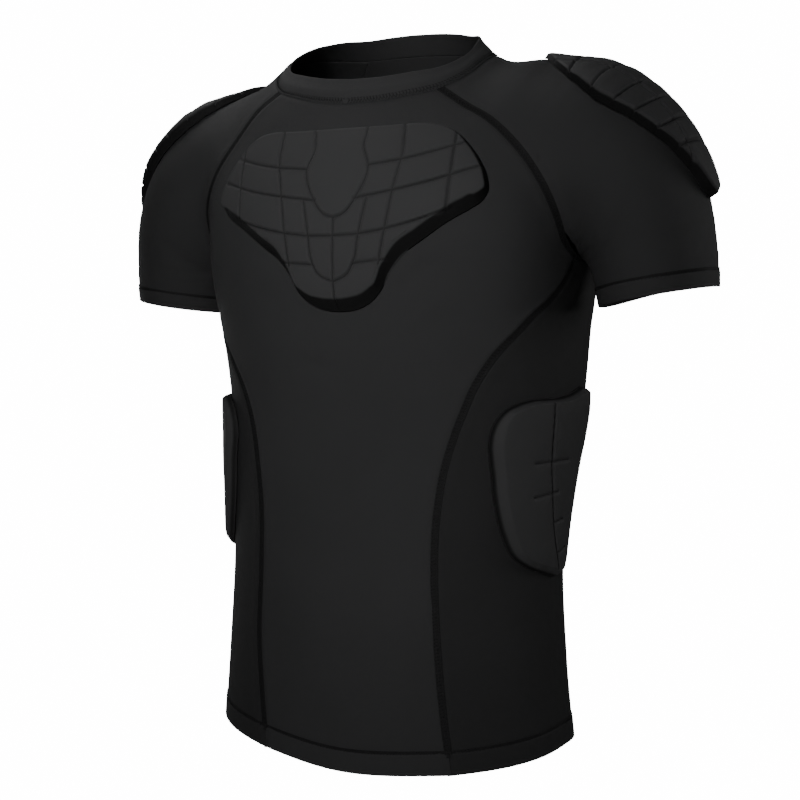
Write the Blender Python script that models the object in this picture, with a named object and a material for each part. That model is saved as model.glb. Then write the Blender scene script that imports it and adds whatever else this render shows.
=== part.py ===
"""A padded compression shirt, as a maker builds it: a front and a back between long curved seams,
two side panels, two raglan sleeves and a crew collar, all of thin stretch cloth, with foam pads
on the chest, the shoulders and the ribs.

Metres, +Z up. The front faces -Y and the wearer's left side is +X. The origin is where the
wearer's shoulders carry the shirt: on the mid line, level with the sides of the neck. The cloth
stands out as it does when it is worn, over a smooth general figure, and it is hollow.

Each panel is a grid of points between four edge lines. Neighbours share the points of the seam
between them and the figure's outward way there, so their walls end side by side, a seam's gap
apart. A Solidify modifier would lean them into each other under the arm, so the two sides of a
wall are joined face by face.
"""

import math
from functools import partial

import bpy
import numpy as np
from mathutils import Vector
from mathutils.geometry import delaunay_2d_cdt

# Driving sizes, in metres
CLOTH = 0.0012
HEM_THICK = 0.0021
HEM_WIDTH = 0.020
CUFF_WIDTH = 0.014
FOLD_STEP = 0.0015
SEAM_GAP = 0.0003
COLLAR_WIDTH = 0.021
COLLAR_THICK = 0.0020
PAD_LIFT = 0.0008
CHEST_THICK = 0.0090
RIB_THICK = 0.0085
SHOULDER_THICK = 0.0102
EDGE_ROUND = 0.0022
EDGE_START = 0.85
GROOVE_HALF = 0.0018
GROOVE_DEPTH = 0.0022
OUTLINE_SPACING = 0.008
TOP_SPACING = 0.014

# How many points each edge line gets
FRONT_COLUMNS = 15
BACK_COLUMNS = 15
SLEEVE_COLUMNS = 21
ARC_HALF = 6
SIDE_ROWS = 15
RAGLAN_ROWS = 10

# The wearer's two sides, and whether a piece of the left half is mirrored for each
SIDES = (("left", False), ("right", True))

GRADIENT_STEP = 1e-4
MARCH_STEPS = 70
MARCH_SHARE = 0.6


def table(columns, rows):
    """A table with named columns, kept as one array for each column."""
    return dict(zip(columns.split(), np.array(rows, float).T))


# Level sections of the body that fills the shirt, from below the hem to above the collar: how
# far its front, its widest place and its back lie along Y.
BODY = table(
    "height half_width front_y side_y back_y squareness",
    [
        (-0.720, 0.174, -0.106, 0.004, 0.106, 2.4),
        (-0.650, 0.172, -0.105, 0.002, 0.102, 2.4),
        (-0.560, 0.1645, -0.104, 0.000, 0.097, 2.4),
        (-0.460, 0.160, -0.100, 0.002, 0.096, 2.4),
        (-0.360, 0.166, -0.100, 0.008, 0.108, 2.5),
        (-0.260, 0.171, -0.106, 0.015, 0.126, 2.9),
        (-0.190, 0.181, -0.109, 0.018, 0.135, 3.0),
        (-0.130, 0.184, -0.102, 0.018, 0.132, 2.8),
        (-0.085, 0.176, -0.091, 0.018, 0.120, 2.4),
        (-0.050, 0.152, -0.080, 0.016, 0.104, 2.1),
        (-0.022, 0.116, -0.069, 0.011, 0.089, 2.0),
        (0.000, 0.088, -0.061, 0.004, 0.077, 2.0),
        (0.030, 0.070, -0.051, 0.000, 0.065, 2.0),
        (0.060, 0.064, -0.046, 0.000, 0.061, 2.0),
    ],
)

# The middle line of the left arm, from inside the shoulder to below the cuff.
ARM = table(
    "x y z radius",
    [
        (0.150, 0.016, -0.081, 0.053),
        (0.188, 0.010, -0.095, 0.057),
        (0.214, 0.007, -0.119, 0.059),
        (0.2335, 0.009, -0.156, 0.0585),
        (0.2455, 0.012, -0.200, 0.0530),
        (0.2490, 0.014, -0.245, 0.0490),
        (0.2535, 0.015, -0.310, 0.0485),
    ],
)

# How softly the arm runs into the trunk: widely over the shoulder, hardly at all under the arm.
BLEND = table(
    "height width",
    [(-0.300, 0.016), (-0.225, 0.016), (-0.190, 0.026), (-0.150, 0.045), (-0.080, 0.060), (0.1, 0.060)],
)

# How far the waist leans to the wearer's left, at each height. The finished pieces are moved by it.
LEAN = table(
    "height shift",
    [
        (-0.720, 0.0000),
        (-0.560, 0.0000),
        (-0.420, 0.0005),
        (-0.375, 0.0018),
        (-0.350, 0.0038),
        (-0.325, 0.0052),
        (-0.295, 0.0048),
        (-0.260, 0.0030),
        (-0.220, 0.0005),
        (-0.190, 0.0000),
        (0.060, 0.0000),
    ],
)

# How the neck sits a little askew, higher on the wearer's right: how far it drops for each metre
# to the left, the share of that at each height, and the share at each distance from the middle
NECK_TILT = 0.065
TILT_HEIGHTS = table("height share", [(-0.105, 0.0), (-0.100, 0.0), (-0.060, 1.0), (-0.055, 1.0)])
TILT_ACROSS = table("away share", [(0.090, 1.0), (0.100, 1.0), (0.150, 0.0), (0.160, 0.0)])

# How far the hem is turned round the body, forwards to the wearer's left, at each height
TURN = table(
    "height shift",
    [(-0.7000, 0.0165), (-0.6385, 0.0150), (-0.5900, 0.0080), (-0.5300, 0.0015), (-0.4800, 0.0)],
)

# The seams of the left half, as guide points close to the figure.
# The neckline runs from the middle of the front to the middle of the back.
NECKLINE = table(
    "x y z",
    [
        (0.000, -0.085, -0.0605),
        (0.030, -0.084, -0.0580),
        (0.057, -0.077, -0.0530),
        (0.080, -0.068, -0.0460),
        (0.096, -0.048, -0.0340),
        (0.101, -0.022, -0.0190),
        (0.097, 0.008, -0.0080),
        (0.085, 0.036, 0.0010),
        (0.066, 0.062, 0.0065),
        (0.035, 0.078, 0.0105),
        (0.000, 0.084, 0.0120),
    ],
)
NECK_FRONT_ROW = 3
NECK_BACK_ROW = 8

# The side seams run from the hem up to the underarm, the raglan seams on from there to the neck.
SIDE_FRONT = table(
    "x y z",
    [
        (0.0910, -0.091, -0.6385),
        (0.0905, -0.091, -0.5900),
        (0.0905, -0.090, -0.5320),
        (0.0885, -0.089, -0.4730),
        (0.0890, -0.088, -0.4250),
        (0.0945, -0.086, -0.3800),
        (0.1060, -0.084, -0.3350),
        (0.1190, -0.081, -0.3040),
        (0.1355, -0.075, -0.2795),
        (0.1537, -0.064, -0.2600),
        (0.1622, -0.054, -0.2480),
        (0.1700, -0.040, -0.2370),
        (0.1754, -0.026, -0.2248),
        (0.1793, -0.013, -0.2107),
        (0.1838, -0.0075, -0.1995),
    ],
)
RAGLAN_FRONT = table(
    "x y z",
    [
        (0.1838, -0.0075, -0.1995),
        (0.1826, -0.0206, -0.1924),
        (0.1816, -0.0315, -0.1830),
        (0.1806, -0.0425, -0.1678),
        (0.1745, -0.0535, -0.1450),
        (0.1570, -0.062, -0.1140),
        (0.1380, -0.066, -0.0920),
        (0.1080, -0.066, -0.0655),
        (0.0800, -0.068, -0.0460),
    ],
)
SIDE_BACK = table(
    "x y z",
    [
        (0.140, 0.088, -0.6350),
        (0.136, 0.088, -0.5500),
        (0.134, 0.088, -0.4600),
        (0.140, 0.092, -0.3800),
        (0.150, 0.096, -0.3100),
        (0.168, 0.084, -0.2450),
        (0.1865, 0.053, -0.1930),
    ],
)
RAGLAN_BACK = table(
    "x y z",
    [
        (0.1865, 0.053, -0.1930),
        (0.182, 0.072, -0.1660),
        (0.170, 0.088, -0.1380),
        (0.150, 0.100, -0.1080),
        (0.124, 0.098, -0.0740),
        (0.094, 0.082, -0.0340),
        (0.066, 0.062, 0.0030),
    ],
)
UNDERARM = table(
    "x y z",
    [
        (0.1838, -0.0075, -0.1995),
        (0.1843, 0.012, -0.2010),
        (0.1855, 0.034, -0.1975),
        (0.1865, 0.053, -0.1930),
    ],
)
HEM_SIDE_POINT = (0.172, 0.004, -0.6260)
HEM_FRONT_POINT = (0.0, -0.105, -0.6460)
HEM_BACK_POINT = (0.0, 0.103, -0.6420)
CUFF_HEIGHT = -0.233
CUFF_TILT = 0.004
CUFF_RISE = 0.006

# The lines that the panels are drawn about
TRUNK_AXIS = table("x y z", [(0.0, 0.0, -0.72), (0.0, 0.0, 0.06)])
SLEEVE_LINE = table(
    "x y z",
    [
        (0.030, 0.000, -0.072),
        (0.080, 0.002, -0.078),
        (0.130, 0.004, -0.088),
        (0.175, 0.005, -0.105),
        (0.208, 0.006, -0.132),
        (0.230, 0.008, -0.165),
        (0.2435, 0.012, -0.200),
        (0.2490, 0.014, -0.245),
        (0.2520, 0.015, -0.280),
    ],
)


def unit(ways):
    """The same ways, each one long."""
    return ways / np.linalg.norm(ways, axis=-1, keepdims=True)


def marks_of(line):
    """How far each point of a line is from its start."""
    return np.concatenate([[0.0], np.cumsum(np.linalg.norm(np.diff(line, axis=0), axis=1))])


def through(at, marks, values):
    """A smooth line through a table's rows: cubic pieces whose slopes are the rows' own."""
    slopes = np.gradient(values, marks)
    row = np.clip(np.searchsorted(marks, at) - 1, 0, len(marks) - 2)
    span = marks[row + 1] - marks[row]
    t = np.clip((at - marks[row]) / span, 0.0, 1.0)
    return (
        values[row] * (1 + 2 * t) * (1 - t) ** 2
        + slopes[row] * span * t * (1 - t) ** 2
        + values[row + 1] * t**2 * (3 - 2 * t)
        - slopes[row + 1] * span * t**2 * (1 - t)
    )


def points_of(guide):
    """A table's x, y and z columns side by side, as points."""
    return np.stack([guide["x"], guide["y"], guide["z"]], -1)


def at_marks(line, at):
    """The points of a line at given distances from its start."""
    marks = marks_of(line)
    return np.stack([np.interp(at, marks, column) for column in line.T], -1)


def evenly(line, count):
    """The same line with its points evenly spaced."""
    return at_marks(line, np.linspace(0.0, marks_of(line)[-1], count))


def smooth_line(points, count=200):
    """Points evenly spaced along a smooth line through a few guide points."""
    points = np.asarray(points, float)
    marks = marks_of(points)
    fine = np.linspace(0.0, marks[-1], 20 * len(points))
    line = np.stack([through(fine, marks, column) for column in points.T], -1)
    return evenly(line, count)


# The figure that fills the shirt

ARM_POINTS = points_of(ARM)
ARM_MARKS = marks_of(ARM_POINTS)
ARM_LINE = smooth_line(ARM_POINTS, 24)


def arm_distance(points):
    """How far each point is outside the arm: the distance to its middle line, less its radius."""
    starts, ways = ARM_LINE[:-1], np.diff(ARM_LINE, axis=0)
    share = ((points[..., None, :] - starts) * ways).sum(-1) / (ways * ways).sum(-1)
    share = np.clip(share, 0.0, 1.0)
    away = np.linalg.norm(points[..., None, :] - starts - share[..., None] * ways, axis=-1)
    nearest = away.argmin(-1)
    along = (nearest + np.take_along_axis(share, nearest[..., None], -1)[..., 0]) / len(ways)
    return away.min(-1) - through(along * ARM_MARKS[-1], ARM_MARKS, ARM["radius"])


def trunk_distance(points):
    """About how far each point is outside the trunk: how much wider its level oval would be."""
    x, y, z = np.moveaxis(points, -1, 0)
    half_width, front_y, side_y, back_y, square = (
        through(z, BODY["height"], BODY[name])
        for name in ("half_width", "front_y", "side_y", "back_y", "squareness")
    )
    depth = np.where(y < side_y, side_y - front_y, back_y - side_y)
    oval = ((np.abs(x) / half_width) ** square + (np.abs(y - side_y) / depth) ** square) ** (1 / square)
    return (oval - 1) * np.minimum(half_width, depth)


def figure(points):
    """Below zero inside the figure and above zero outside: trunk and arms, blended at the shoulder."""
    mirrored = np.stack([np.abs(points[..., 0]), points[..., 1], points[..., 2]], -1)
    trunk, arm = trunk_distance(mirrored), arm_distance(mirrored)
    blend = through(points[..., 2], BLEND["height"], BLEND["width"])
    near = np.maximum(blend - np.abs(trunk - arm), 0.0) / blend
    return np.minimum(trunk, arm) - near**3 * blend / 6


def gradient(points):
    """The way in which the figure's value grows, by small steps along each axis."""
    steps = GRADIENT_STEP * np.eye(3)
    ways = [(figure(points + step) - figure(points - step)) / (2 * GRADIENT_STEP) for step in steps]
    return np.stack(ways, -1)


def outward(points):
    """The surface's outward way at each point, one long."""
    return unit(gradient(points))


def settle(points, rounds=16):
    """Moves points straight onto the figure's surface, by Newton's steps down its gradient."""
    for _ in range(rounds):
        way = gradient(points)
        size = np.maximum((way * way).sum(-1), 0.05)
        points = points - (figure(points) / size)[..., None] * way
    return points


def reach(base, way):
    """Where rays from inside first meet the surface: many short safe steps, then Newton's."""
    gone = np.zeros(base.shape[:-1])
    for _ in range(MARCH_STEPS):
        gone = gone + MARCH_SHARE * np.maximum(-figure(base + gone[..., None] * way), 0.0)
    for _ in range(4):
        points = base + gone[..., None] * way
        slope = np.maximum((gradient(points) * way).sum(-1), 0.2)
        gone = gone - figure(points) / slope
    return base + gone[..., None] * way


# Charts: how far along a line inside the shirt, and how far turned about it


def core(points, side, start):
    """A line to draw a panel about. Rays leave it between its out way and its side way, and the
    search along each begins a start's distance from the line."""
    line = smooth_line(points, 80)
    along = unit(np.gradient(line, axis=0))
    out = unit(np.cross(side, along))
    return {"line": line, "along": along, "out": out, "side": np.cross(along, out), "start": start}


def between(lines, at):
    """Rows of a line's values read at given distances along it."""
    marks = marks_of(lines["line"])
    return [
        np.stack([np.interp(at, marks, column) for column in lines[name].T], -1)
        for name in ("line", "out", "side")
    ]


def chart(lines, points):
    """Each point's distance along a core's line and its turn about it, in radians."""
    ahead = ((points[:, None, :] - lines["line"]) * lines["along"]).sum(-1)
    row = np.clip((ahead > 0).sum(-1) - 1, 0, len(lines["line"]) - 2)
    first, second = ahead[np.arange(len(row)), row], ahead[np.arange(len(row)), row + 1]
    marks = marks_of(lines["line"])
    at = marks[row] + first / (first - second) * (marks[row + 1] - marks[row])
    line, out, side = between(lines, at)
    turn = np.arctan2(((points - line) * side).sum(-1), ((points - line) * out).sum(-1))
    return np.stack([at, turn], -1)


def on_figure(lines, at, turn):
    """The figure's surface along the ray with this distance and turn."""
    line, out, side = between(lines, at)
    way = np.cos(turn)[..., None] * out + np.sin(turn)[..., None] * side
    return reach(line + lines["start"] * way, way)


def shares(line):
    """How far along each point of a line is, from 0 to 1."""
    marks = marks_of(line)
    return marks / marks[-1]


def unwound(edge, sign):
    """An edge's chart points, with turns beyond the half turn counted on in the edge's own sense."""
    turn = edge[:, 1]
    turn = np.where(sign * turn < -math.pi / 2, turn + sign * 2 * math.pi, turn)
    return np.stack([edge[:, 0], turn], -1)


def patch(lines, bottom, top, left, right):
    """A grid of points on the figure between four edge lines: in the chart, opposite edges are
    blended both ways and the corners are taken off once, as in a Coons patch."""
    sense = 1 if chart(lines, left)[-1, 1] > chart(lines, right)[-1, 1] else -1
    near, far = unwound(chart(lines, left), sense), unwound(chart(lines, right), -sense)
    low, high = chart(lines, bottom), chart(lines, top)
    low[[0, -1]], high[[0, -1]] = (near[0], far[0]), (near[-1], far[-1])
    u = ((shares(bottom) + shares(top)) / 2)[None, :, None]
    v = ((shares(left) + shares(right)) / 2)[:, None, None]
    ruled = (1 - v) * low[None] + v * high[None] + (1 - u) * near[:, None] + u * far[:, None]
    corners = (1 - v) * ((1 - u) * low[0] + u * low[-1]) + v * ((1 - u) * high[0] + u * high[-1])
    grid = ruled - corners
    return on_figure(lines, grid[..., 0], grid[..., 1])


def draw_in(grid, distance):
    """Draws a grid's four edges in by a distance, across each edge and along the surface."""
    grid = grid.copy()
    way = outward(grid)
    for axis in (0, 1):
        rows, ways = np.moveaxis(grid, axis, 0), np.moveaxis(way, axis, 0)
        for edge, inner in ((0, 1), (-1, -2)):
            across = np.cross(ways[edge], np.gradient(rows[edge], axis=0))
            across *= np.sign((across * (rows[inner] - rows[edge])).sum(-1, keepdims=True))
            rows[edge] += distance * unit(across)
    return grid


# Building the meshes


def new_material(name, colour, roughness):
    """A Principled material of one colour."""
    material = bpy.data.materials.new(name)
    material.use_nodes = True
    shader = material.node_tree.nodes["Principled BSDF"]
    shader.inputs["Base Color"].default_value = (*colour, 1.0)
    shader.inputs["Roughness"].default_value = roughness
    shader.inputs["Metallic"].default_value = 0.0
    return material


def add_object(name, points, faces, material, collection, mirrored=False):
    """An object from points and faces, or from their mirror image, with the neck's tilt and
    the waist's lean."""
    points = np.array(points, float)
    if mirrored:
        points[:, 0] *= -1
        faces = [face[::-1] for face in faces]
    tilt = through(points[:, 2], TILT_HEIGHTS["height"], TILT_HEIGHTS["share"])
    tilt *= through(np.abs(points[:, 0]), TILT_ACROSS["away"], TILT_ACROSS["share"])
    points[:, 2] -= NECK_TILT * points[:, 0] * tilt
    points[:, 0] += through(points[:, 2], LEAN["height"], LEAN["shift"])
    mesh = bpy.data.meshes.new(name)
    mesh.from_pydata(points.tolist(), [], faces)
    mesh.materials.append(material)
    mesh.validate()
    mesh.shade_smooth()
    mesh.set_sharp_from_angle(angle=math.radians(50))
    collection.objects.link(bpy.data.objects.new(name, mesh))


def cut_cells(index, first_diagonal, reverse):
    """The triangles of a grid of point numbers. Each cell is cut from its first corner to its
    third where first_diagonal says so, and otherwise from its second to its fourth."""
    a, b, c, d = index[:-1, :-1], index[:-1, 1:], index[1:, 1:], index[1:, :-1]
    cut = first_diagonal[..., None, None]
    ways = [np.stack([np.stack(one, -1), np.stack(other, -1)], -2) for one, other in (
        ((a, b, c), (a, c, d)),
        ((a, b, d), (b, c, d)),
    )]
    triangles = np.where(cut, ways[0], ways[1]).reshape(-1, 3)
    return (triangles[:, ::-1] if reverse else triangles).tolist()


def lie_closer(points, index):
    """For each cell of a grid, whether its first diagonal's middle is nearer to the figure than its
    second's."""
    corner = points[index]
    first = np.abs(figure((corner[:-1, :-1] + corner[1:, 1:]) / 2))
    second = np.abs(figure((corner[:-1, 1:] + corner[1:, :-1]) / 2))
    return first <= second


def wall(inner, thickness, closed=False):
    """Points and faces of a closed wall: the inner grid lies on the figure and the outer grid is
    the same points moved out by each row's thickness. A closed wall's last column meets its first.
    A rim's cells are cut upwards, so the rims of two neighbours have the same twist."""
    rows, columns = inner.shape[:2]
    outer = inner + np.broadcast_to(thickness, rows)[:, None, None] * outward(inner)
    number = np.arange(rows * columns).reshape(rows, columns)
    if closed:
        number = np.concatenate([number, number[:, :1]], axis=1)
    total = rows * columns
    points = np.concatenate([inner.reshape(-1, 3), outer.reshape(-1, 3)])
    a, b, c = inner[0, 0], inner[0, 1], inner[1, 0]
    flip = (np.cross(b - a, c - a) * outward(a[None])[0]).sum() < 0
    cut = lie_closer(points, number)
    faces = cut_cells(number, cut, not flip) + cut_cells(number + total, cut, flip)
    rims = [number[0], number[-1][::-1]]
    if not closed:
        rims += [number[:, -1], number[:, 0][::-1]]
    for rim in rims:
        height = points[rim, 2]
        upwards = (height[1:] >= height[:-1])[None]
        faces += cut_cells(np.stack([rim, rim + total]), upwards, flip)
    return points, faces


# The shirt's lines on the figure

TRUNK_FRONT = core(points_of(TRUNK_AXIS) + (0.0, 0.20, 0.0), (1.0, 0.0, 0.0), 0.17)
TRUNK_BACK = core(points_of(TRUNK_AXIS) + (0.0, -0.20, 0.0), (-1.0, 0.0, 0.0), 0.17)
TRUNK_SIDE = core(points_of(TRUNK_AXIS), (0.0, 1.0, 0.0), 0.03)
SLEEVE = core(points_of(SLEEVE_LINE), (0.0, -1.0, 0.0), 0.0)


def mirror(points):
    """The mirror image across the mid plane."""
    return points * (-1.0, 1.0, 1.0)


def seam_rows(side, raglan):
    """A side seam and its raglan as rows for a panel: the hem's fold first, then even rows."""
    length = marks_of(side)[-1]
    hem = [0.0, HEM_WIDTH, HEM_WIDTH + FOLD_STEP]
    even = np.linspace(HEM_WIDTH + FOLD_STEP, length, SIDE_ROWS - 2)[1:]
    lower = at_marks(side, np.concatenate([hem, even]))
    upper = evenly(raglan, RAGLAN_ROWS + 1)
    return lower, np.concatenate([lower, upper[1:]])


def hem_thickness(rows):
    """The wall's thickness for each row of a panel with a turned hem at its first rows."""
    return np.array([HEM_THICK, HEM_THICK] + [CLOTH] * (rows - 2))


def make_lines(side):
    """Every seam of the left half (side 1) or of the right half's mirror image (side -1), settled
    on the figure and cut into the points that its neighbours share. The hem's turn moves the front
    seams towards the wearer's left, and the back seams the other way."""
    lines = {}
    neck = smooth_line(points_of(NECKLINE), 400)
    guides = points_of(NECKLINE)
    first = np.linalg.norm(neck - guides[NECK_FRONT_ROW], axis=1).argmin()
    second = np.linalg.norm(neck - guides[NECK_BACK_ROW], axis=1).argmin()
    lines["neck_front"] = settle(evenly(neck[: first + 1], (FRONT_COLUMNS + 1) // 2))
    lines["neck_side"] = settle(evenly(neck[first : second + 1], SLEEVE_COLUMNS))
    lines["neck_back"] = settle(evenly(neck[second:], (BACK_COLUMNS + 1) // 2))
    smooth = {}
    for name, guide, sense in (
        ("side_front", SIDE_FRONT, side),
        ("raglan_front", RAGLAN_FRONT, side),
        ("side_back", SIDE_BACK, -side),
        ("raglan_back", RAGLAN_BACK, -side),
        ("underarm", UNDERARM, 0),
    ):
        points = points_of(guide)
        points[:, 0] += sense * np.interp(points[:, 2], TURN["height"], TURN["shift"])
        smooth[name] = settle(smooth_line(points))
    for end, start in (("side_front", "raglan_front"), ("side_back", "raglan_back")):
        smooth[start][0] = smooth[end][-1]
    smooth["raglan_front"][-1] = lines["neck_side"][0]
    smooth["raglan_back"][-1] = lines["neck_side"][-1]
    smooth["underarm"][0] = smooth["side_front"][-1]
    smooth["underarm"][-1] = smooth["side_back"][-1]
    lines["side_front"], lines["front_edge"] = seam_rows(smooth["side_front"], smooth["raglan_front"])
    lines["side_back"], lines["back_edge"] = seam_rows(smooth["side_back"], smooth["raglan_back"])
    lines["arc"] = evenly(smooth["underarm"], 2 * ARC_HALF - 1)
    return lines


def hem_line(start, middle, end, count):
    """A stretch of the hem: an arc through three points, settled, with its ends kept."""
    line = evenly(settle(smooth_line([start, middle, end])), count)
    line[0], line[-1] = start, end
    return line


def make_sleeve(lines):
    """The left sleeve's grid. Its rows run from the cuff up to the neck, and each row goes from
    the front edge over the outside of the arm to the back edge."""
    arc = lines["arc"]
    tip_at, tip_turn = chart(SLEEVE, arc[ARC_HALF - 1][None])[0]
    cuff_at = np.interp(-CUFF_HEIGHT, -SLEEVE["line"][:, 2], marks_of(SLEEVE["line"]))
    up = cuff_at + CUFF_TILT - tip_at
    fold = CUFF_WIDTH + FOLD_STEP
    rise = np.array([0.0, CUFF_WIDTH, fold, (fold + up) / 2])
    turn = math.pi + (tip_turn % (2 * math.pi) - math.pi) * rise / up
    underarm = on_figure(SLEEVE, cuff_at + CUFF_TILT - rise, turn)
    front = np.concatenate([underarm, arc[ARC_HALF - 1 :: -1], lines["front_edge"][-RAGLAN_ROWS:]])
    back = np.concatenate([underarm, arc[ARC_HALF - 1 :], lines["back_edge"][-RAGLAN_ROWS:]])
    round_turn = np.linspace(math.pi, -math.pi, SLEEVE_COLUMNS)
    raised = CUFF_TILT * np.cos(round_turn) + CUFF_RISE * np.maximum(-np.sin(round_turn), 0.0) ** 2
    cuff = on_figure(SLEEVE, cuff_at - raised, round_turn)
    return patch(SLEEVE, cuff, lines["neck_side"], front, back)


def make_collar(lines):
    """The collar's grid, a closed band that climbs the neck from just above the neckline."""
    half = np.concatenate([lines["neck_front"][:-1], lines["neck_side"][:-1], lines["neck_back"]])
    ring = np.concatenate([half, mirror(half)[-2:0:-1]])
    heights = (SEAM_GAP, COLLAR_WIDTH / 3, 2 * COLLAR_WIDTH / 3, COLLAR_WIDTH)
    return np.stack([climb(ring, height) for height in heights])


def climb(points, height, steps=6):
    """Points moved up along the figure's surface by a height, a few short steps at a time."""
    for _ in range(steps):
        way = outward(points)
        rise = np.array([0.0, 0.0, 1.0]) - way[:, 2:] * way
        points = settle(points + height / steps * unit(rise), 4)
    return points


def make_grids():
    """The grids of all the panels. Those of the right half are still mirror images."""
    left, right = make_lines(1), make_lines(-1)
    hem_left, hem_right = left["side_front"][0], mirror(right["side_front"][0])
    front_hem = hem_line(hem_right, HEM_FRONT_POINT, hem_left, FRONT_COLUMNS)
    hem_left, hem_right = left["side_back"][0], mirror(right["side_back"][0])
    back_hem = hem_line(hem_left, HEM_BACK_POINT, hem_right, BACK_COLUMNS)
    neck_front, neck_back = left["neck_front"], left["neck_back"]
    front_top = np.concatenate([mirror(neck_front)[:0:-1], neck_front])
    back_top = np.concatenate([neck_back, mirror(neck_back)[-2::-1]])
    front_edges = mirror(right["front_edge"]), left["front_edge"]
    back_edges = left["back_edge"], mirror(right["back_edge"])
    grids = {
        "front_panel": patch(TRUNK_FRONT, front_hem, front_top, *front_edges),
        "back_panel": patch(TRUNK_BACK, back_hem, back_top, *back_edges),
        "sleeve": make_sleeve(left),
    }
    for name, lines in (("side_panel_left", left), ("side_panel_right", right)):
        front, back = lines["side_front"], lines["side_back"]
        side_hem = hem_line(front[0], HEM_SIDE_POINT, back[0], 2 * ARC_HALF - 1)
        grids[name] = patch(TRUNK_SIDE, side_hem, lines["arc"], front, back)
    grids = {name: draw_in(grid, SEAM_GAP / 2) for name, grid in grids.items()}
    grids["collar"] = make_collar(left)
    return grids


# The foam pads. Each is drawn on a chart of its own in metres, laid on the cloth's outer side.

# Its middle lies a little to the wearer's left.
CHEST_MIDDLE = 0.0055
CHEST_OUTLINE = table(
    "s t",
    [
        (0.0000, -0.0880),
        (0.0450, -0.0880),
        (0.0760, -0.0878),
        (0.0900, -0.0905),
        (0.1020, -0.0970),
        (0.1130, -0.1080),
        (0.1225, -0.1210),
        (0.1290, -0.1350),
        (0.1305, -0.1470),
        (0.1250, -0.1565),
        (0.1180, -0.1615),
        (0.1020, -0.1710),
        (0.0780, -0.1875),
        (0.0600, -0.2000),
        (0.0500, -0.2120),
        (0.0410, -0.2280),
        (0.0260, -0.2400),
        (0.0100, -0.2445),
        (0.0000, -0.2450),
    ],
)
CHEST_GROOVES = [
    [(0.0590, -0.090), (0.0605, -0.110), (0.0550, -0.143), (0.0480, -0.184), (0.0440, -0.205)],
    [(0.1025, -0.100), (0.1020, -0.130), (0.1002, -0.165)],
    [(0.0310, -0.151), (0.0250, -0.180), (0.0200, -0.204), (0.0145, -0.2125), (0.0, -0.2190)],
    [(0.0, -0.1655), (0.0, -0.242)],
    [(0.0300, -0.1235), (0.0650, -0.1195), (0.0850, -0.1155), (0.115, -0.107)],
    [(0.0190, -0.1505), (0.0450, -0.147), (0.0880, -0.139), (0.128, -0.127)],
    [(0.0, -0.1810), (0.0270, -0.180), (0.0520, -0.1765), (0.0920, -0.166), (0.105, -0.1610)],
    [(0.0200, -0.2043), (0.0500, -0.2018)],
    [
        (0.0258, -0.0900),
        (0.0243, -0.1080),
        (0.0305, -0.1240),
        (0.0230, -0.1460),
        (0.0080, -0.1635),
        (0.0000, -0.1655),
    ],
]

RIB_AXIS_X = 0.050
RIB_REACH = 0.115
RIB_MIDDLE = 0.0255
# Its half towards the front, and the half behind, whose upper corner stands higher
RIB_OUTLINE = table(
    "s t",
    [
        (0.0000, -0.3190),
        (0.0160, -0.3192),
        (0.0280, -0.3198),
        (0.0400, -0.3230),
        (0.0500, -0.3280),
        (0.0570, -0.3360),
        (0.0612, -0.3480),
        (0.0615, -0.3590),
        (0.0595, -0.3700),
        (0.0568, -0.3835),
        (0.0550, -0.3970),
        (0.0525, -0.4100),
        (0.0455, -0.4340),
        (0.0345, -0.4540),
        (0.0260, -0.4605),
        (0.0150, -0.4660),
        (0.0000, -0.4710),
    ],
)
RIB_BACK_OUTLINE = table(
    "s t",
    [
        (0.0000, -0.3190),
        (0.0200, -0.3165),
        (0.0380, -0.3125),
        (0.0500, -0.3100),
        (0.0572, -0.3130),
        (0.0603, -0.3230),
        (0.0600, -0.3380),
        (0.0570, -0.3560),
        (0.0530, -0.3760),
        (0.0485, -0.4000),
        (0.0445, -0.4250),
        (0.0410, -0.4480),
        (0.0370, -0.4640),
        (0.0300, -0.4740),
        (0.0200, -0.4765),
        (0.0090, -0.4736),
        (0.0000, -0.4710),
    ],
)
# A spine from top to bottom, two grooves across it and two short ones that lie behind it
RIB_GROOVES = [
    [(0.0077, -0.322), (0.0039, -0.372), (-0.0003, -0.399), (-0.0050, -0.428), (-0.0160, -0.468)],
    [(0.0206, -0.3734), (-0.0185, -0.3720)],
    [(0.0193, -0.4030), (-0.0074, -0.3990)],
    [(-0.0050, -0.4266), (-0.0183, -0.4238)],
    [(-0.0125, -0.4545), (-0.0265, -0.4497)],
]

SHOULDER_PIVOT = (0.195, -0.115)
SHOULDER_REACH = 0.090
SHOULDER_MIDDLE_Y = {"left": 0.008, "right": 0.015}
SHOULDER_OUTLINE = table(
    "s degrees",
    [
        (0.0000, -28.0),
        (0.0115, -25.0),
        (0.0270, -19.0),
        (0.0366, -11.5),
        (0.0453, 7.0),
        (0.0480, 22.0),
        (0.0480, 38.0),
        (0.0445, 62.5),
        (0.0395, 78.0),
        (0.0333, 87.0),
        (0.0265, 95.5),
        (0.0177, 103.0),
        (0.0090, 108.5),
        (0.0000, 111.0),
    ],
)
# Where the grooves across it lie at its edges and at its middle, and how far out the two along it lie
SHOULDER_CELLS = table(
    "edge middle",
    [(-9.5, -7.0), (13.5, 18.0), (41.5, 38.0), (63.0, 54.0), (84.5, 70.0), (99.0, 85.0)],
)
SHOULDER_COLUMN = 0.022
# How thick it is from its end at the neck outwards
SHOULDER_THIN = table("degrees thick", [(-28.0, 0.0050), (-12.0, 0.0066), (5.0, 0.0088), (22.0, 0.0102)])


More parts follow.
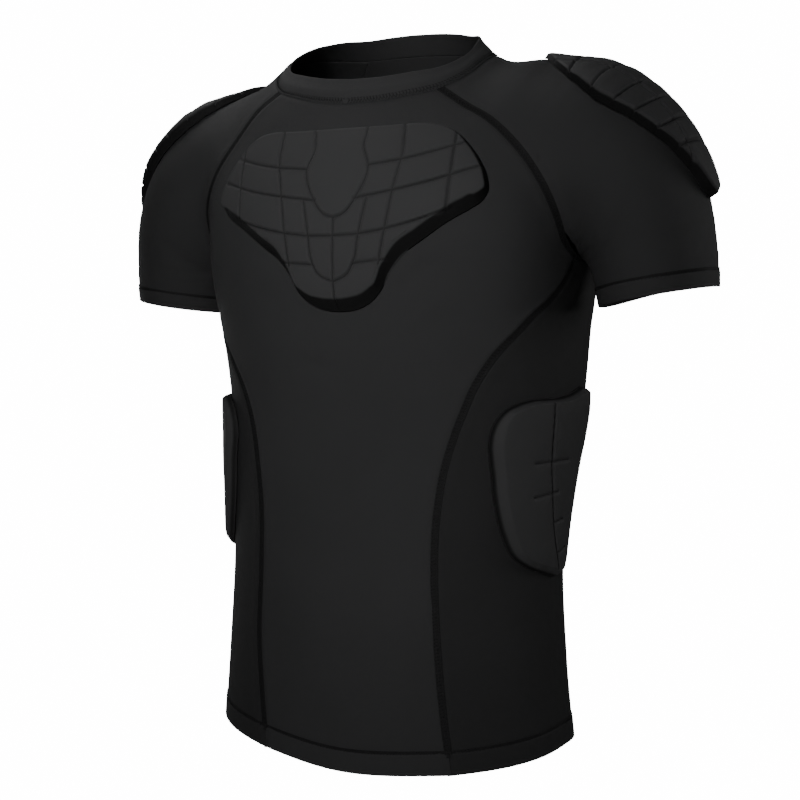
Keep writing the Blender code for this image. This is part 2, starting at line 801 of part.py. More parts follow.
def on_chest(s, t):
    """The chest's chart: across and up, seen straight from the front."""
    base = np.stack([CHEST_MIDDLE + s, np.zeros_like(s), t], -1)
    return reach(base, np.broadcast_to((0.0, -1.0, 0.0), base.shape))


def on_rib(s, t):
    """The ribs' chart: round the side from the pad's middle towards the front, and up."""
    turn = (RIB_MIDDLE + s) / RIB_REACH
    base = np.stack([np.full_like(s, RIB_AXIS_X), np.zeros_like(s), t], -1)
    return reach(base, np.stack([np.cos(turn), -np.sin(turn), np.zeros_like(s)], -1))


def on_shoulder(s, t, side):
    """A shoulder's chart: forwards from its middle, and from the neck side over and down."""
    turn = t / SHOULDER_REACH
    middle = np.broadcast_arrays(SHOULDER_PIVOT[0], SHOULDER_MIDDLE_Y[side] - s, SHOULDER_PIVOT[1])
    base = np.stack(middle, -1)
    return reach(base, np.stack([np.sin(turn), np.zeros_like(s), np.cos(turn)], -1))


def column_pairs(outline):
    """An outline table's s and t columns side by side."""
    return np.stack([outline["s"], outline["t"]], -1)


def both_sides(half, other=None):
    """A half outline from top to bottom, joined to the mirror image of another half, or of
    itself, as one closed loop."""
    other = smooth_line(half if other is None else other)
    return np.concatenate([smooth_line(half), (other * (-1.0, 1.0))[-2:0:-1]])


def closed_evenly(loop, spacing):
    """A closed loop with points about a spacing apart."""
    loop = np.concatenate([loop, loop[:1]])
    count = int(round(marks_of(loop)[-1] / spacing))
    return evenly(loop, count + 1)[:-1]


def inset(loop, distance):
    """A closed loop moved inwards, across itself at each point."""
    way = unit(np.roll(loop, -1, axis=0) - np.roll(loop, 1, axis=0))
    area = np.cross(loop, np.roll(loop, -1, axis=0)).sum()
    return loop + np.sign(area) * np.stack([-way[:, 1], way[:, 0]], -1) * np.reshape(distance, (-1, 1))


def distance_to(points, lines):
    """How far points are from the nearest of some flat lines."""
    starts = np.concatenate([line[:-1] for line in lines])
    ways = np.concatenate([np.diff(line, axis=0) for line in lines])
    share = ((points[:, None] - starts) * ways).sum(-1) / np.maximum((ways * ways).sum(-1), 1e-12)
    near = starts + np.clip(share, 0.0, 1.0)[..., None] * ways
    return np.linalg.norm(points[:, None] - near, axis=-1).min(-1)


def within(points, loop):
    """Whether points lie inside a closed loop, by counting the edges to one side of each."""
    a, b = loop, np.roll(loop, -1, axis=0)
    above = (a[:, 1] > points[:, None, 1]) != (b[:, 1] > points[:, None, 1])
    rise = np.where(b[:, 1] == a[:, 1], 1.0, b[:, 1] - a[:, 1])
    crossing = a[:, 0] + (points[:, None, 1] - a[:, 1]) / rise * (b[:, 0] - a[:, 0])
    return (above & (points[:, None, 0] < crossing)).sum(-1) % 2 == 1


def lattice(loop, spacing, margin, lines):
    """Evenly spread points inside a loop, clear of its edge and of some lines."""
    low, high = loop.min(0), loop.max(0)
    rows = np.arange(low[1], high[1], spacing * math.sqrt(3) / 2)
    spots = []
    for number, t in enumerate(rows):
        s = np.arange(low[0] + spacing / 2 * (number % 2), high[0], spacing)
        spots.append(np.stack([s, np.full_like(s, t)], -1))
    spots = np.concatenate(spots)
    closed = np.concatenate([loop, loop[:1]])
    keep = within(spots, loop) & (distance_to(spots, [closed]) > margin)
    if lines:
        keep &= distance_to(spots, lines) > margin
    return spots[keep]


def triangles(loops, lines, spots):
    """Triangles that fill the first loop and follow the other loops and lines. Returns their
    flat points, the triangles, and where the first loop's points are."""
    flat, edges = [], []
    for loop in loops:
        first, count = len(flat), len(loop)
        flat += loop.tolist()
        edges += [(first + step, first + (step + 1) % count) for step in range(count)]
    for line in lines:
        first = len(flat)
        flat += line.tolist()
        edges += [(first + step, first + step + 1) for step in range(len(line) - 1)]
    flat += spots.tolist()
    found = delaunay_2d_cdt([Vector(point) for point in flat], edges, [], 0, 1e-7)
    points = np.array([tuple(point) for point in found[0]])
    faces = np.array(found[2])
    corners = points[faces]
    area = np.cross(corners[:, 1] - corners[:, 0], corners[:, 2] - corners[:, 0])
    faces[area < 0] = faces[area < 0][:, ::-1]
    faces = faces[within(corners.mean(1), loops[0]) & (np.abs(area) > 1e-10)]
    place = {old: new for new, olds in enumerate(found[3]) for old in olds}
    return points, faces, np.array([place[number] for number in range(len(loops[0]))])


def pad(chart_of_pad, outline, grooves, thick, slope_low, slope_high, under_spacing):
    """Points and faces of a closed foam pad: a plain inner side on the cloth, sloping side walls,
    and a top with flex grooves. A wall that faces down may slope more than one that faces up. How
    thick it is may change up its chart."""
    foot = closed_evenly(outline, OUTLINE_SPACING)
    facing = unit(foot - inset(foot, 1.0))[:, 1]
    slope = (slope_low + slope_high) / 2 - (slope_low - slope_high) / 2 * facing
    edge = inset(foot, EDGE_START * slope)
    flat_top = inset(foot, EDGE_START * slope + EDGE_ROUND)
    closed_top = np.concatenate([flat_top, flat_top[:1]])
    middles, lines = [], []
    for guide in grooves:
        line = smooth_line(guide, 2 * max(3, int(marks_of(np.array(guide))[-1] / OUTLINE_SPACING)))
        line = line[within(line, flat_top) & (distance_to(line, [closed_top]) > 0.001)][::2]
        across = unit(np.gradient(line, axis=0))[:, ::-1] * (-1.0, 1.0)
        middles.append(line)
        lines += [line, line + GROOVE_HALF * across, line - GROOVE_HALF * across]
    spots = lattice(flat_top, TOP_SPACING, TOP_SPACING / 3, lines)
    top, top_faces, top_edge = triangles([edge, flat_top], lines, spots)
    closed_edge = np.concatenate([edge, edge[:1]])
    depth = GROOVE_DEPTH * np.maximum(1 - distance_to(top, middles) / GROOVE_HALF, 0.0)
    rise = np.minimum(distance_to(top, [closed_edge]) / EDGE_ROUND, 1.0)
    thickness = np.interp(top[:, 1], *thick)
    height = thickness * (EDGE_START + (1 - EDGE_START) * np.sin(rise * math.pi / 2)) - depth
    under = triangles([foot], [], lattice(foot, under_spacing, 0.4 * under_spacing, []))
    return join_pad(chart_of_pad, under, (top, top_faces, top_edge), height)


def join_pad(chart_of_pad, under, top, height):
    """The pad's two sides laid on the cloth at their heights, and the wall that joins them."""
    sides = []
    for flat, rise in ((under[0], np.zeros(len(under[0]))), (top[0], height)):
        surface = chart_of_pad(flat[:, 0], flat[:, 1])
        sides.append(surface + (CLOTH + PAD_LIFT + rise)[:, None] * outward(surface))
    points = np.concatenate(sides)
    start = len(under[0])
    low, high = under[2], top[2] + start
    a, b, c = points[under[1][0]]
    flip = (np.cross(b - a, c - a) * outward(a[None])[0]).sum() < 0
    faces = under[1][:, ::-1].tolist() + (top[1] + start).tolist()
    around = loop_sense(under[0][under[2]])
    for first, second in zip(low_high(low, high, around), low_high(low, high, around, 1)):
        faces += [[first[0], second[0], second[1]], [first[0], second[1], first[1]]]
    if flip:
        faces = [face[::-1] for face in faces]
    return points, faces


def loop_sense(loop):
    """1 where a flat loop runs against the clock, and -1 where it runs with it."""
    return int(np.sign(np.cross(loop, np.roll(loop, -1, axis=0)).sum()))


def low_high(low, high, sense, step=0):
    """Pairs of a low and a high rim point, in the order in which the rim runs against the clock."""
    return np.roll(np.stack([low, high], -1)[::sense], -step, axis=0).tolist()


def mirrored_grooves(grooves):
    """Grooves of a half pad with their mirror images, save those that lie on the middle."""
    other = [[(-s, t) for s, t in groove] for groove in grooves if any(s > 0 for s, _ in groove)]
    return grooves + other


def shoulder_grooves():
    """The shoulder pad's grooves: one across it for each row of cells, and two along it."""
    arc = math.radians(1.0) * SHOULDER_REACH
    grooves = []
    for edge, middle in zip(SHOULDER_CELLS["edge"], SHOULDER_CELLS["middle"]):
        grooves.append([(-0.06, edge * arc), (0.0, middle * arc), (0.06, edge * arc)])
    for side in (-1, 1):
        grooves.append([(side * SHOULDER_COLUMN, degrees * arc) for degrees in (-24.0, 40.0, 109.0)])
    return grooves


def main():
    """Clears the scene and builds the shirt."""
    for item in list(bpy.data.objects):
        bpy.data.objects.remove(item)
    shirt = bpy.data.collections.new("padded_compression_shirt")
    bpy.context.scene.collection.children.link(shirt)
    cloth = new_material("stretch_cloth", (0.020, 0.020, 0.021), 0.75)
    collar_cloth = new_material("collar_cloth", (0.022, 0.022, 0.023), 0.75)
    foam = new_material("pad_cover", (0.030, 0.030, 0.031), 0.65)

    grids = make_grids()
    for name in ("front_panel", "back_panel"):
        grid = grids[name]
        add_object(name, *wall(grid, hem_thickness(len(grid))), cloth, shirt)
    add_object("collar", *wall(grids["collar"], COLLAR_THICK, closed=True), collar_cloth, shirt)
    for side, mirrored in SIDES:
        panel, sleeve = grids["side_panel_" + side], grids["sleeve"]
        add_object("side_panel_" + side, *wall(panel, hem_thickness(len(panel))), cloth, shirt, mirrored)
        add_object("sleeve_" + side, *wall(sleeve, hem_thickness(len(sleeve))), cloth, shirt, mirrored)

    outline, grooves = both_sides(column_pairs(CHEST_OUTLINE)), mirrored_grooves(CHEST_GROOVES)
    chest = pad(on_chest, outline, grooves, ([0.0], [CHEST_THICK]), 0.0105, 0.0025, 0.016)
    add_object("chest_pad", *chest, foam, shirt)
    outline = both_sides(column_pairs(RIB_OUTLINE), column_pairs(RIB_BACK_OUTLINE))
    rib = pad(on_rib, outline, RIB_GROOVES, ([0.0], [RIB_THICK]), 0.006, 0.006, 0.012)
    arc = math.radians(1.0) * SHOULDER_REACH
    outline = both_sides(np.stack([SHOULDER_OUTLINE["s"], arc * SHOULDER_OUTLINE["degrees"]], -1))
    thinner = arc * SHOULDER_THIN["degrees"], SHOULDER_THIN["thick"]
    for side, mirrored in SIDES:
        chart = partial(on_shoulder, side=side)
        shoulder = pad(chart, outline, shoulder_grooves(), thinner, 0.002, 0.002, 0.010)
        add_object("rib_pad_" + side, *rib, foam, shirt, mirrored)
        add_object("shoulder_pad_" + side, *shoulder, foam, shirt, mirrored)


main()
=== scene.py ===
# %% [markdown]
# A padded compression shirt
#
# The real shirt is cut from thin and very stretchy knit and worn tight, so its shape is that of
# whatever fills it. Foam pads in flexible cells are bonded on the chest, shoulders and ribs. The
# rigid frame that this scene stands on has one plain solid for each of these pieces. Here each
# one gets a fine surface of its own, in the same place.

# %% The frame
import math
from functools import partial

import bpy
import numpy as np
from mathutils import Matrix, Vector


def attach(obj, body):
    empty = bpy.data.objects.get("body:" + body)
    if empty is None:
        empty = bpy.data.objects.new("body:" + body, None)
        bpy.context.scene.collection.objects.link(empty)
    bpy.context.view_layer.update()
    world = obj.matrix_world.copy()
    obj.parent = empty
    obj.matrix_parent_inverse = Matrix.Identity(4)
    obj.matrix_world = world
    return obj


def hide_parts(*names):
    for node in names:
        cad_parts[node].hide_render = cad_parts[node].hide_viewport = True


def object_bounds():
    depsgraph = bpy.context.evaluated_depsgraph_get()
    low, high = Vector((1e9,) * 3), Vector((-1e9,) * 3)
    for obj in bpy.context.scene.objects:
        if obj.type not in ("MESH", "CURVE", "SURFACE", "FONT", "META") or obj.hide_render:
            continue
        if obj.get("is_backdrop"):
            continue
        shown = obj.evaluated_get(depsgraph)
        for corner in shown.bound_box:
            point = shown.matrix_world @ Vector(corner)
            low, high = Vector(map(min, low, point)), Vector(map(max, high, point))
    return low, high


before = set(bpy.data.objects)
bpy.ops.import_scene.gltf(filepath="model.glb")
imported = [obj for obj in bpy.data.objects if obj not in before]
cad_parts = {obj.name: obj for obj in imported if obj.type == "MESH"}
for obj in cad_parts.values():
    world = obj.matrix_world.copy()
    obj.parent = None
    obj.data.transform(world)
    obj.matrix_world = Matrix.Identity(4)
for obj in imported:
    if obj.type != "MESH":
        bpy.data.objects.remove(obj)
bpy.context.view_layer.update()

# %% [markdown]
# Sizes
#
# Everything below is in metres. The cloth is about a millimetre thick, and nearly twice that where
# it is turned over at the hem and the cuffs. The seams are flat ones: the two edges lie side by side
# and a band of thread covers them.

# %% Sizes
CLOTH = 0.0012
HEM_EXTRA = 0.0009
HEM_WIDTH = 0.0185
CUFF_WIDTH = 0.0135
# Over how far a hem's second layer ends, and how wide its folded edge rounds
HEM_END = 0.0015
FOLD_ROUND = 0.0012
SEAM_GAP = 0.0003
SEAM_WIDTH = 0.0068
HEM_BAND_WIDTH = 0.0062
COLLAR_BAND_WIDTH = 0.0060
COLLAR_THICK = 0.0020
PAD_LIFT = 0.0008


def table(columns, rows):
    """A table with named columns, kept as one array for each column."""
    return dict(zip(columns.split(), np.array(rows, float).T))


# %% [markdown]
# The figure inside the shirt
#
# Worn cloth takes the form of the body under it. That form is kept as a smooth general figure:
# level ovals for the trunk, a tube of changing width for each arm, and a soft blend between them.
# A point's value says how far outside the figure it is, so the surface is where the value is zero.
# Every piece of the shirt can then be laid on it, and neighbours agree where they meet.

# %% The figure's tables
BODY = table(
    "height half_width front_y side_y back_y squareness",
    [
        (-0.72, 0.174, -0.106, 0.004, 0.106, 2.4),
        (-0.65, 0.172, -0.105, 0.002, 0.102, 2.4),
        (-0.56, 0.1645, -0.104, 0.0, 0.097, 2.4),
        (-0.46, 0.16, -0.1, 0.002, 0.096, 2.4),
        (-0.36, 0.166, -0.1, 0.008, 0.108, 2.5),
        (-0.26, 0.171, -0.106, 0.015, 0.126, 2.9),
        (-0.19, 0.181, -0.109, 0.018, 0.135, 3.0),
        (-0.13, 0.184, -0.102, 0.018, 0.132, 2.8),
        (-0.085, 0.176, -0.091, 0.018, 0.12, 2.4),
        (-0.05, 0.152, -0.08, 0.016, 0.104, 2.1),
        (-0.022, 0.116, -0.069, 0.011, 0.089, 2.0),
        (0.0, 0.088, -0.061, 0.004, 0.077, 2.0),
        (0.03, 0.07, -0.051, 0.0, 0.065, 2.0),
        (0.06, 0.064, -0.046, 0.0, 0.061, 2.0),
    ],
)

# The middle line of the left arm, from inside the shoulder to below the cuff
ARM = table(
    "x y z radius",
    [
        (0.15, 0.016, -0.081, 0.053),
        (0.188, 0.01, -0.095, 0.057),
        (0.214, 0.007, -0.119, 0.059),
        (0.2335, 0.009, -0.156, 0.0585),
        (0.2455, 0.012, -0.2, 0.053),
        (0.249, 0.014, -0.245, 0.049),
        (0.2535, 0.015, -0.31, 0.0485),
    ],
)

# How softly the arm runs into the trunk: widely over the shoulder, hardly at all under the arm
BLEND = table(
    "height width",
    [(-0.3, 0.016), (-0.225, 0.016), (-0.19, 0.026), (-0.15, 0.045), (-0.08, 0.06), (0.1, 0.06)],
)

# How far the waist leans to the wearer's left, at each height
LEAN = table(
    "height shift",
    [
        (-0.72, 0.0), (-0.56, 0.0), (-0.42, 0.0005), (-0.375, 0.0018), (-0.35, 0.0038), (-0.325, 0.0052),
        (-0.295, 0.0048), (-0.26, 0.003), (-0.22, 0.0005), (-0.19, 0.0), (0.06, 0.0),
    ],
)

# How the neck sits a little askew, higher on the wearer's right: how far it drops for each metre
# to the left, the share of that at each height, and the share at each distance from the middle
NECK_TILT = 0.065
TILT_HEIGHTS = table("height share", [(-0.105, 0.0), (-0.100, 0.0), (-0.060, 1.0), (-0.055, 1.0)])
TILT_ACROSS = table("away share", [(0.090, 1.0), (0.100, 1.0), (0.150, 0.0), (0.160, 0.0)])


# %% Lines through tables
def unit(ways):
    """The same ways, each one long: each is divided by its own length."""
    return ways / np.linalg.norm(ways, axis=-1, keepdims=True)


def smoothstep(value):
    """0 below 0, 1 above 1, and between them 3 v^2 - 2 v^3, which starts and ends level."""
    value = np.clip(value, 0.0, 1.0)
    return value * value * (3 - 2 * value)


def marks_of(line):
    """How far each point of a line is from its start: the running sum of the steps' lengths."""
    return np.concatenate([[0.0], np.cumsum(np.linalg.norm(np.diff(line, axis=0), axis=1))])


def through(at, marks, values):
    """A smooth line through a table's rows: between two rows, the cubic that leaves the first and
    meets the second with the rows' own slopes."""
    slopes = np.gradient(values, marks)
    row = np.clip(np.searchsorted(marks, at) - 1, 0, len(marks) - 2)
    span = marks[row + 1] - marks[row]
    t = np.clip((at - marks[row]) / span, 0.0, 1.0)
    return (
        values[row] * (1 + 2 * t) * (1 - t) ** 2
        + slopes[row] * span * t * (1 - t) ** 2
        + values[row + 1] * t**2 * (3 - 2 * t)
        - slopes[row + 1] * span * t**2 * (1 - t)
    )


def points_of(guide):
    """A table's x, y and z columns side by side, as points."""
    return np.stack([guide["x"], guide["y"], guide["z"]], -1)


def at_marks(line, at):
    """The points of a line at given distances from its start, on the straight steps between."""
    marks = marks_of(line)
    return np.stack([np.interp(at, marks, column) for column in line.T], -1)


def evenly(line, count):
    """The same line with its points evenly spaced."""
    return at_marks(line, np.linspace(0.0, marks_of(line)[-1], count))


def smooth_line(points, count=400):
    """Points evenly spaced along a smooth line through a few guide points."""
    points = np.asarray(points, float)
    marks = marks_of(points)
    fine = np.linspace(0.0, marks[-1], 20 * len(points))
    line = np.stack([through(fine, marks, column) for column in points.T], -1)
    return evenly(line, count)


# %% The figure
ARM_POINTS = points_of(ARM)
ARM_MARKS = marks_of(ARM_POINTS)
ARM_LINE = smooth_line(ARM_POINTS, 24)
GRADIENT_STEP = 1e-4
# Newton's steps never divide by less than these, and a marching ray takes this share of the way
LEAST_SQUARE, LEAST_SLOPE = 0.05, 0.2
SAFE_SHARE = 0.6


def arm_distance(points):
    """The distance to the nearest place on the arm's middle line, less the arm's radius there."""
    starts, ways = ARM_LINE[:-1], np.diff(ARM_LINE, axis=0)
    share = ((points[..., None, :] - starts) * ways).sum(-1) / (ways * ways).sum(-1)
    share = np.clip(share, 0.0, 1.0)
    away = np.linalg.norm(points[..., None, :] - starts - share[..., None] * ways, axis=-1)
    nearest = away.argmin(-1)
    along = (nearest + np.take_along_axis(share, nearest[..., None], -1)[..., 0]) / len(ways)
    return away.min(-1) - through(along * ARM_MARKS[-1], ARM_MARKS, ARM["radius"])


def trunk_distance(points):
    """How much wider a point's own level oval is than the trunk's: an oval is where
    |x / width|^n + |y / depth|^n is one, with its own depth in front and behind."""
    x, y, z = np.moveaxis(points, -1, 0)
    half_width, front_y, side_y, back_y, square = (
        through(z, BODY["height"], BODY[name])
        for name in ("half_width", "front_y", "side_y", "back_y", "squareness")
    )
    depth = np.where(y < side_y, side_y - front_y, back_y - side_y)
    oval = ((np.abs(x) / half_width) ** square + (np.abs(y - side_y) / depth) ** square) ** (1 / square)
    return (oval - 1) * np.minimum(half_width, depth)


def figure(points):
    """The smaller of the trunk's and the arm's distances, less a cubic bump where they are about
    equal, which rounds the corner between them."""
    mirrored = np.stack([np.abs(points[..., 0]), points[..., 1], points[..., 2]], -1)
    trunk, arm = trunk_distance(mirrored), arm_distance(mirrored)
    blend = through(points[..., 2], BLEND["height"], BLEND["width"])
    near = np.maximum(blend - np.abs(trunk - arm), 0.0) / blend
    return np.minimum(trunk, arm) - near**3 * blend / 6


def gradient(points):
    """The way in which the figure's value grows: its difference over a small step along each axis."""
    steps = GRADIENT_STEP * np.eye(3)
    ways = [(figure(points + step) - figure(points - step)) / (2 * GRADIENT_STEP) for step in steps]
    return np.stack(ways, -1)


def outward(points):
    """The surface's outward way at each point, one long."""
    return unit(gradient(points))


def settle(points, rounds=4):
    """Moves points straight onto the surface by Newton's steps: value times gradient over the
    gradient's square."""
    for _ in range(rounds):
        way = gradient(points)
        size = np.maximum((way * way).sum(-1), LEAST_SQUARE)
        points = points - (figure(points) / size)[..., None] * way
    return points


def march(base, way, steps=70):
    """How far rays from inside go until they first meet the surface, in many short safe steps."""
    gone = np.zeros(base.shape[:-1])
    for _ in range(steps):
        gone = gone + SAFE_SHARE * np.maximum(-figure(base + gone[..., None] * way), 0.0)
    return gone


def reach(base, way, every=4):
    """Where a grid of rays meets the surface. Only every fourth row and column is marched, the
    rays between start from the distances around them, and Newton's steps bring all onto it."""
    rows, columns = (np.unique(np.append(np.arange(0, size, every), size - 1)) for size in base.shape[:2])
    coarse = march(base[rows][:, columns], way[rows][:, columns])
    half = np.stack([np.interp(np.arange(base.shape[0]), rows, column) for column in coarse.T], -1)
    gone = np.stack([np.interp(np.arange(base.shape[1]), columns, row) for row in half])
    for _ in range(4):
        points = base + gone[..., None] * way
        slope = np.maximum((gradient(points) * way).sum(-1), LEAST_SLOPE)
        gone = gone - figure(points) / slope
    return base + gone[..., None] * way


widest = reach(np.zeros((1, 1, 3)) + (0.0, 0.02, -0.19), np.zeros((1, 1, 3)) + (0.0, -1.0, 0.0))
print("the chest lies", round(-1000 * widest[0, 0, 1], 1), "mm in front of the middle")

# %% [markdown]
# The seams
#
# A maker draws a garment by its seams. Each one here is a short table of guide points, joined by a
# smooth line and settled on the figure. The hem is turned a little round the body, as it is when a
# shirt has been pulled on, so the two side seams aren't each other's exact mirror image there.

# %% The seams' tables
TURN = table(
    "height shift",
    [(-0.7, 0.0165), (-0.6385, 0.015), (-0.59, 0.008), (-0.53, 0.0015), (-0.48, 0.0)],
)

NECKLINE = table(
    "x y z",
    [
        (0.0, -0.085, -0.0605), (0.03, -0.084, -0.058), (0.057, -0.077, -0.053), (0.08, -0.068, -0.046),
        (0.096, -0.048, -0.034), (0.101, -0.022, -0.019), (0.097, 0.008, -0.008), (0.085, 0.036, 0.001),
        (0.066, 0.062, 0.0065), (0.035, 0.078, 0.0105), (0.0, 0.084, 0.012),
    ],
)
NECK_FRONT_ROW = 3
NECK_BACK_ROW = 8

# The side seams run from the hem up to the underarm, the raglan seams on from there to the neck.
SIDE_FRONT = table(
    "x y z",
    [
        (0.091, -0.091, -0.6385), (0.0905, -0.091, -0.59), (0.0905, -0.09, -0.532),
        (0.0885, -0.089, -0.473), (0.089, -0.088, -0.425), (0.0945, -0.086, -0.38),
        (0.106, -0.084, -0.335), (0.119, -0.081, -0.304), (0.1355, -0.075, -0.2795),
        (0.1537, -0.064, -0.26), (0.1622, -0.054, -0.248), (0.17, -0.04, -0.237),
        (0.1754, -0.026, -0.2248), (0.1793, -0.013, -0.2107), (0.1838, -0.0075, -0.1995),
    ],
)
RAGLAN_FRONT = table(
    "x y z",
    [
        (0.1838, -0.0075, -0.1995), (0.1826, -0.0206, -0.1924), (0.1816, -0.0315, -0.183),
        (0.1806, -0.0425, -0.1678), (0.1745, -0.0535, -0.145), (0.157, -0.062, -0.114),
        (0.138, -0.066, -0.092), (0.108, -0.066, -0.0655), (0.08, -0.068, -0.046),
    ],
)
SIDE_BACK = table(
    "x y z",
    [
        (0.14, 0.088, -0.635), (0.136, 0.088, -0.55), (0.134, 0.088, -0.46), (0.14, 0.092, -0.38),
        (0.15, 0.096, -0.31), (0.168, 0.084, -0.245), (0.1865, 0.053, -0.193),
    ],
)
RAGLAN_BACK = table(
    "x y z",
    [
        (0.1865, 0.053, -0.193), (0.182, 0.072, -0.166), (0.17, 0.088, -0.138), (0.15, 0.1, -0.108),
        (0.124, 0.098, -0.074), (0.094, 0.082, -0.034), (0.066, 0.062, 0.003),
    ],
)
UNDERARM = table(
    "x y z",
    [
        (0.1838, -0.0075, -0.1995), (0.1843, 0.012, -0.201), (0.1855, 0.034, -0.1975),
        (0.1865, 0.053, -0.193),
    ],
)
HEM_SIDE_POINT = (0.172, 0.004, -0.6260)
HEM_FRONT_POINT = (0.0, -0.105, -0.6460)
HEM_BACK_POINT = (0.0, 0.103, -0.6420)
CUFF_HEIGHT = -0.233
CUFF_TILT = 0.004
CUFF_RISE = 0.006

# The lines that the panels are drawn about
TRUNK_AXIS = table("x y z", [(0.0, 0.0, -0.72), (0.0, 0.0, 0.06)])
SLEEVE_LINE = table(
    "x y z",
    [
        (0.03, 0.0, -0.072), (0.08, 0.002, -0.078), (0.13, 0.004, -0.088), (0.175, 0.005, -0.105),
        (0.208, 0.006, -0.132), (0.23, 0.008, -0.165), (0.2435, 0.012, -0.2), (0.249, 0.014, -0.245),
        (0.252, 0.015, -0.28),
    ],
)


# %% The seams
def mirror(points):
    """The mirror image across the mid plane: x changes its sign."""
    return points * (-1.0, 1.0, 1.0)


def make_lines(side):
    """Every seam of the left half (side 1) or of the right half's mirror image (side -1), each
    settled on the figure. Lines that meet share their end points."""
    neck = smooth_line(points_of(NECKLINE), 1200)
    guides = points_of(NECKLINE)
    first = np.linalg.norm(neck - guides[NECK_FRONT_ROW], axis=1).argmin()
    second = np.linalg.norm(neck - guides[NECK_BACK_ROW], axis=1).argmin()
    lines = {
        "neck_front": settle(neck[: first + 1], 8),
        "neck_side": settle(neck[first : second + 1], 8),
        "neck_back": settle(neck[second:], 8),
    }
    for name, guide, sense in (
        ("side_front", SIDE_FRONT, side),
        ("raglan_front", RAGLAN_FRONT, side),
        ("side_back", SIDE_BACK, -side),
        ("raglan_back", RAGLAN_BACK, -side),
        ("underarm", UNDERARM, 0),
    ):
        points = points_of(guide)
        points[:, 0] += sense * np.interp(points[:, 2], TURN["height"], TURN["shift"])
        lines[name] = settle(smooth_line(points), 16)
    lines["raglan_front"][0] = lines["underarm"][0] = lines["side_front"][-1]
    lines["raglan_back"][0] = lines["underarm"][-1] = lines["side_back"][-1]
    lines["raglan_front"][-1] = lines["neck_side"][0]
    lines["raglan_back"][-1] = lines["neck_side"][-1]
    return lines


def hem_line(start, middle, end):
    """A stretch of the hem: an arc through three points, settled, with its ends kept."""
    line = settle(smooth_line([start, middle, end]), 16)
    line[0], line[-1] = start, end
    return line


LEFT, RIGHT = make_lines(1), make_lines(-1)
for name in ("side_front", "raglan_front", "side_back", "raglan_back"):
    print(name, "seam is", round(1000 * marks_of(LEFT[name])[-1]), "mm long")

# %% [markdown]
# Charts
#
# To fill the space between four seams with a grid, it helps to have the surface flat for a while.
# A chart does that: a point is given by its distance along a line inside the shirt and its turn
# about that line. The grid is drawn in the chart as a Coons patch, whose inside follows from its
# four edges, and then laid back on the figure.


# %% Charts
def core(points, side, start):
    """A line to draw a panel about. Rays leave it between its out way and its side way, and each
    begins a start's distance from the line."""
    line = smooth_line(points, 80)
    along = unit(np.gradient(line, axis=0))
    out = unit(np.cross(side, along))
    return {"line": line, "along": along, "out": out, "side": np.cross(along, out), "start": start}


def between(lines, at):
    """Rows of a line's values read at given distances along it."""
    marks = marks_of(lines["line"])
    return [
        np.stack([np.interp(at, marks, column) for column in lines[name].T], -1)
        for name in ("line", "out", "side")
    ]


def chart(lines, points):
    """Each point's distance along a core's line and its turn about it: the turn is the angle whose
    sine lies along the side way and whose cosine lies along the out way."""
    ahead = ((points[:, None, :] - lines["line"]) * lines["along"]).sum(-1)
    row = np.clip((ahead > 0).sum(-1) - 1, 0, len(lines["line"]) - 2)
    first, second = ahead[np.arange(len(row)), row], ahead[np.arange(len(row)), row + 1]
    marks = marks_of(lines["line"])
    at = marks[row] + first / (first - second) * (marks[row + 1] - marks[row])
    line, out, side = between(lines, at)
    turn = np.arctan2(((points - line) * side).sum(-1), ((points - line) * out).sum(-1))
    return np.stack([at, turn], -1)


def on_figure(lines, at, turn):
    """The figure's surface along the rays of a grid with these distances and turns."""
    line, out, side = between(lines, at)
    way = np.cos(turn)[..., None] * out + np.sin(turn)[..., None] * side
    return reach(line + lines["start"] * way, way)


def unwound(edge, sign):
    """An edge's chart points, with turns beyond the half turn counted on in the edge's own sense."""
    turn = edge[:, 1]
    turn = np.where(sign * turn < -math.pi / 2, turn + sign * 2 * math.pi, turn)
    return np.stack([edge[:, 0], turn], -1)


def at_shares(line, share):
    """The points of a line at given shares of its length, from 0 to 1."""
    return at_marks(line, share * marks_of(line)[-1])


def patch(lines, bottom, top, left, right, columns, rows, fade=1):
    """A grid of points on the figure between four edge lines. In the chart, each row is the blend
    of the bottom and the top edge, plus what the left and the right edge differ from a straight
    blend, which fades inwards by a power of the share. With the first power it is a Coons patch.
    Columns and rows are shares of the edges' lengths."""
    bottom, top = at_shares(bottom, columns), at_shares(top, columns)
    left, right = at_shares(left, rows), at_shares(right, rows)
    sense = 1 if chart(lines, left)[-1, 1] > chart(lines, right)[-1, 1] else -1
    near, far = unwound(chart(lines, left), sense), unwound(chart(lines, right), -sense)
    low, high = chart(lines, bottom), chart(lines, top)
    low[[0, -1]], high[[0, -1]] = (near[0], far[0]), (near[-1], far[-1])
    u, v = columns[None, :, None], rows[:, None, None]
    near_bend = near[:, None] - (1 - v) * near[0] - v * near[-1]
    far_bend = far[:, None] - (1 - v) * far[0] - v * far[-1]
    grid = (1 - v) * low[None] + v * high[None] + (1 - u) ** fade * near_bend + u**fade * far_bend
    return on_figure(lines, grid[..., 0], grid[..., 1])


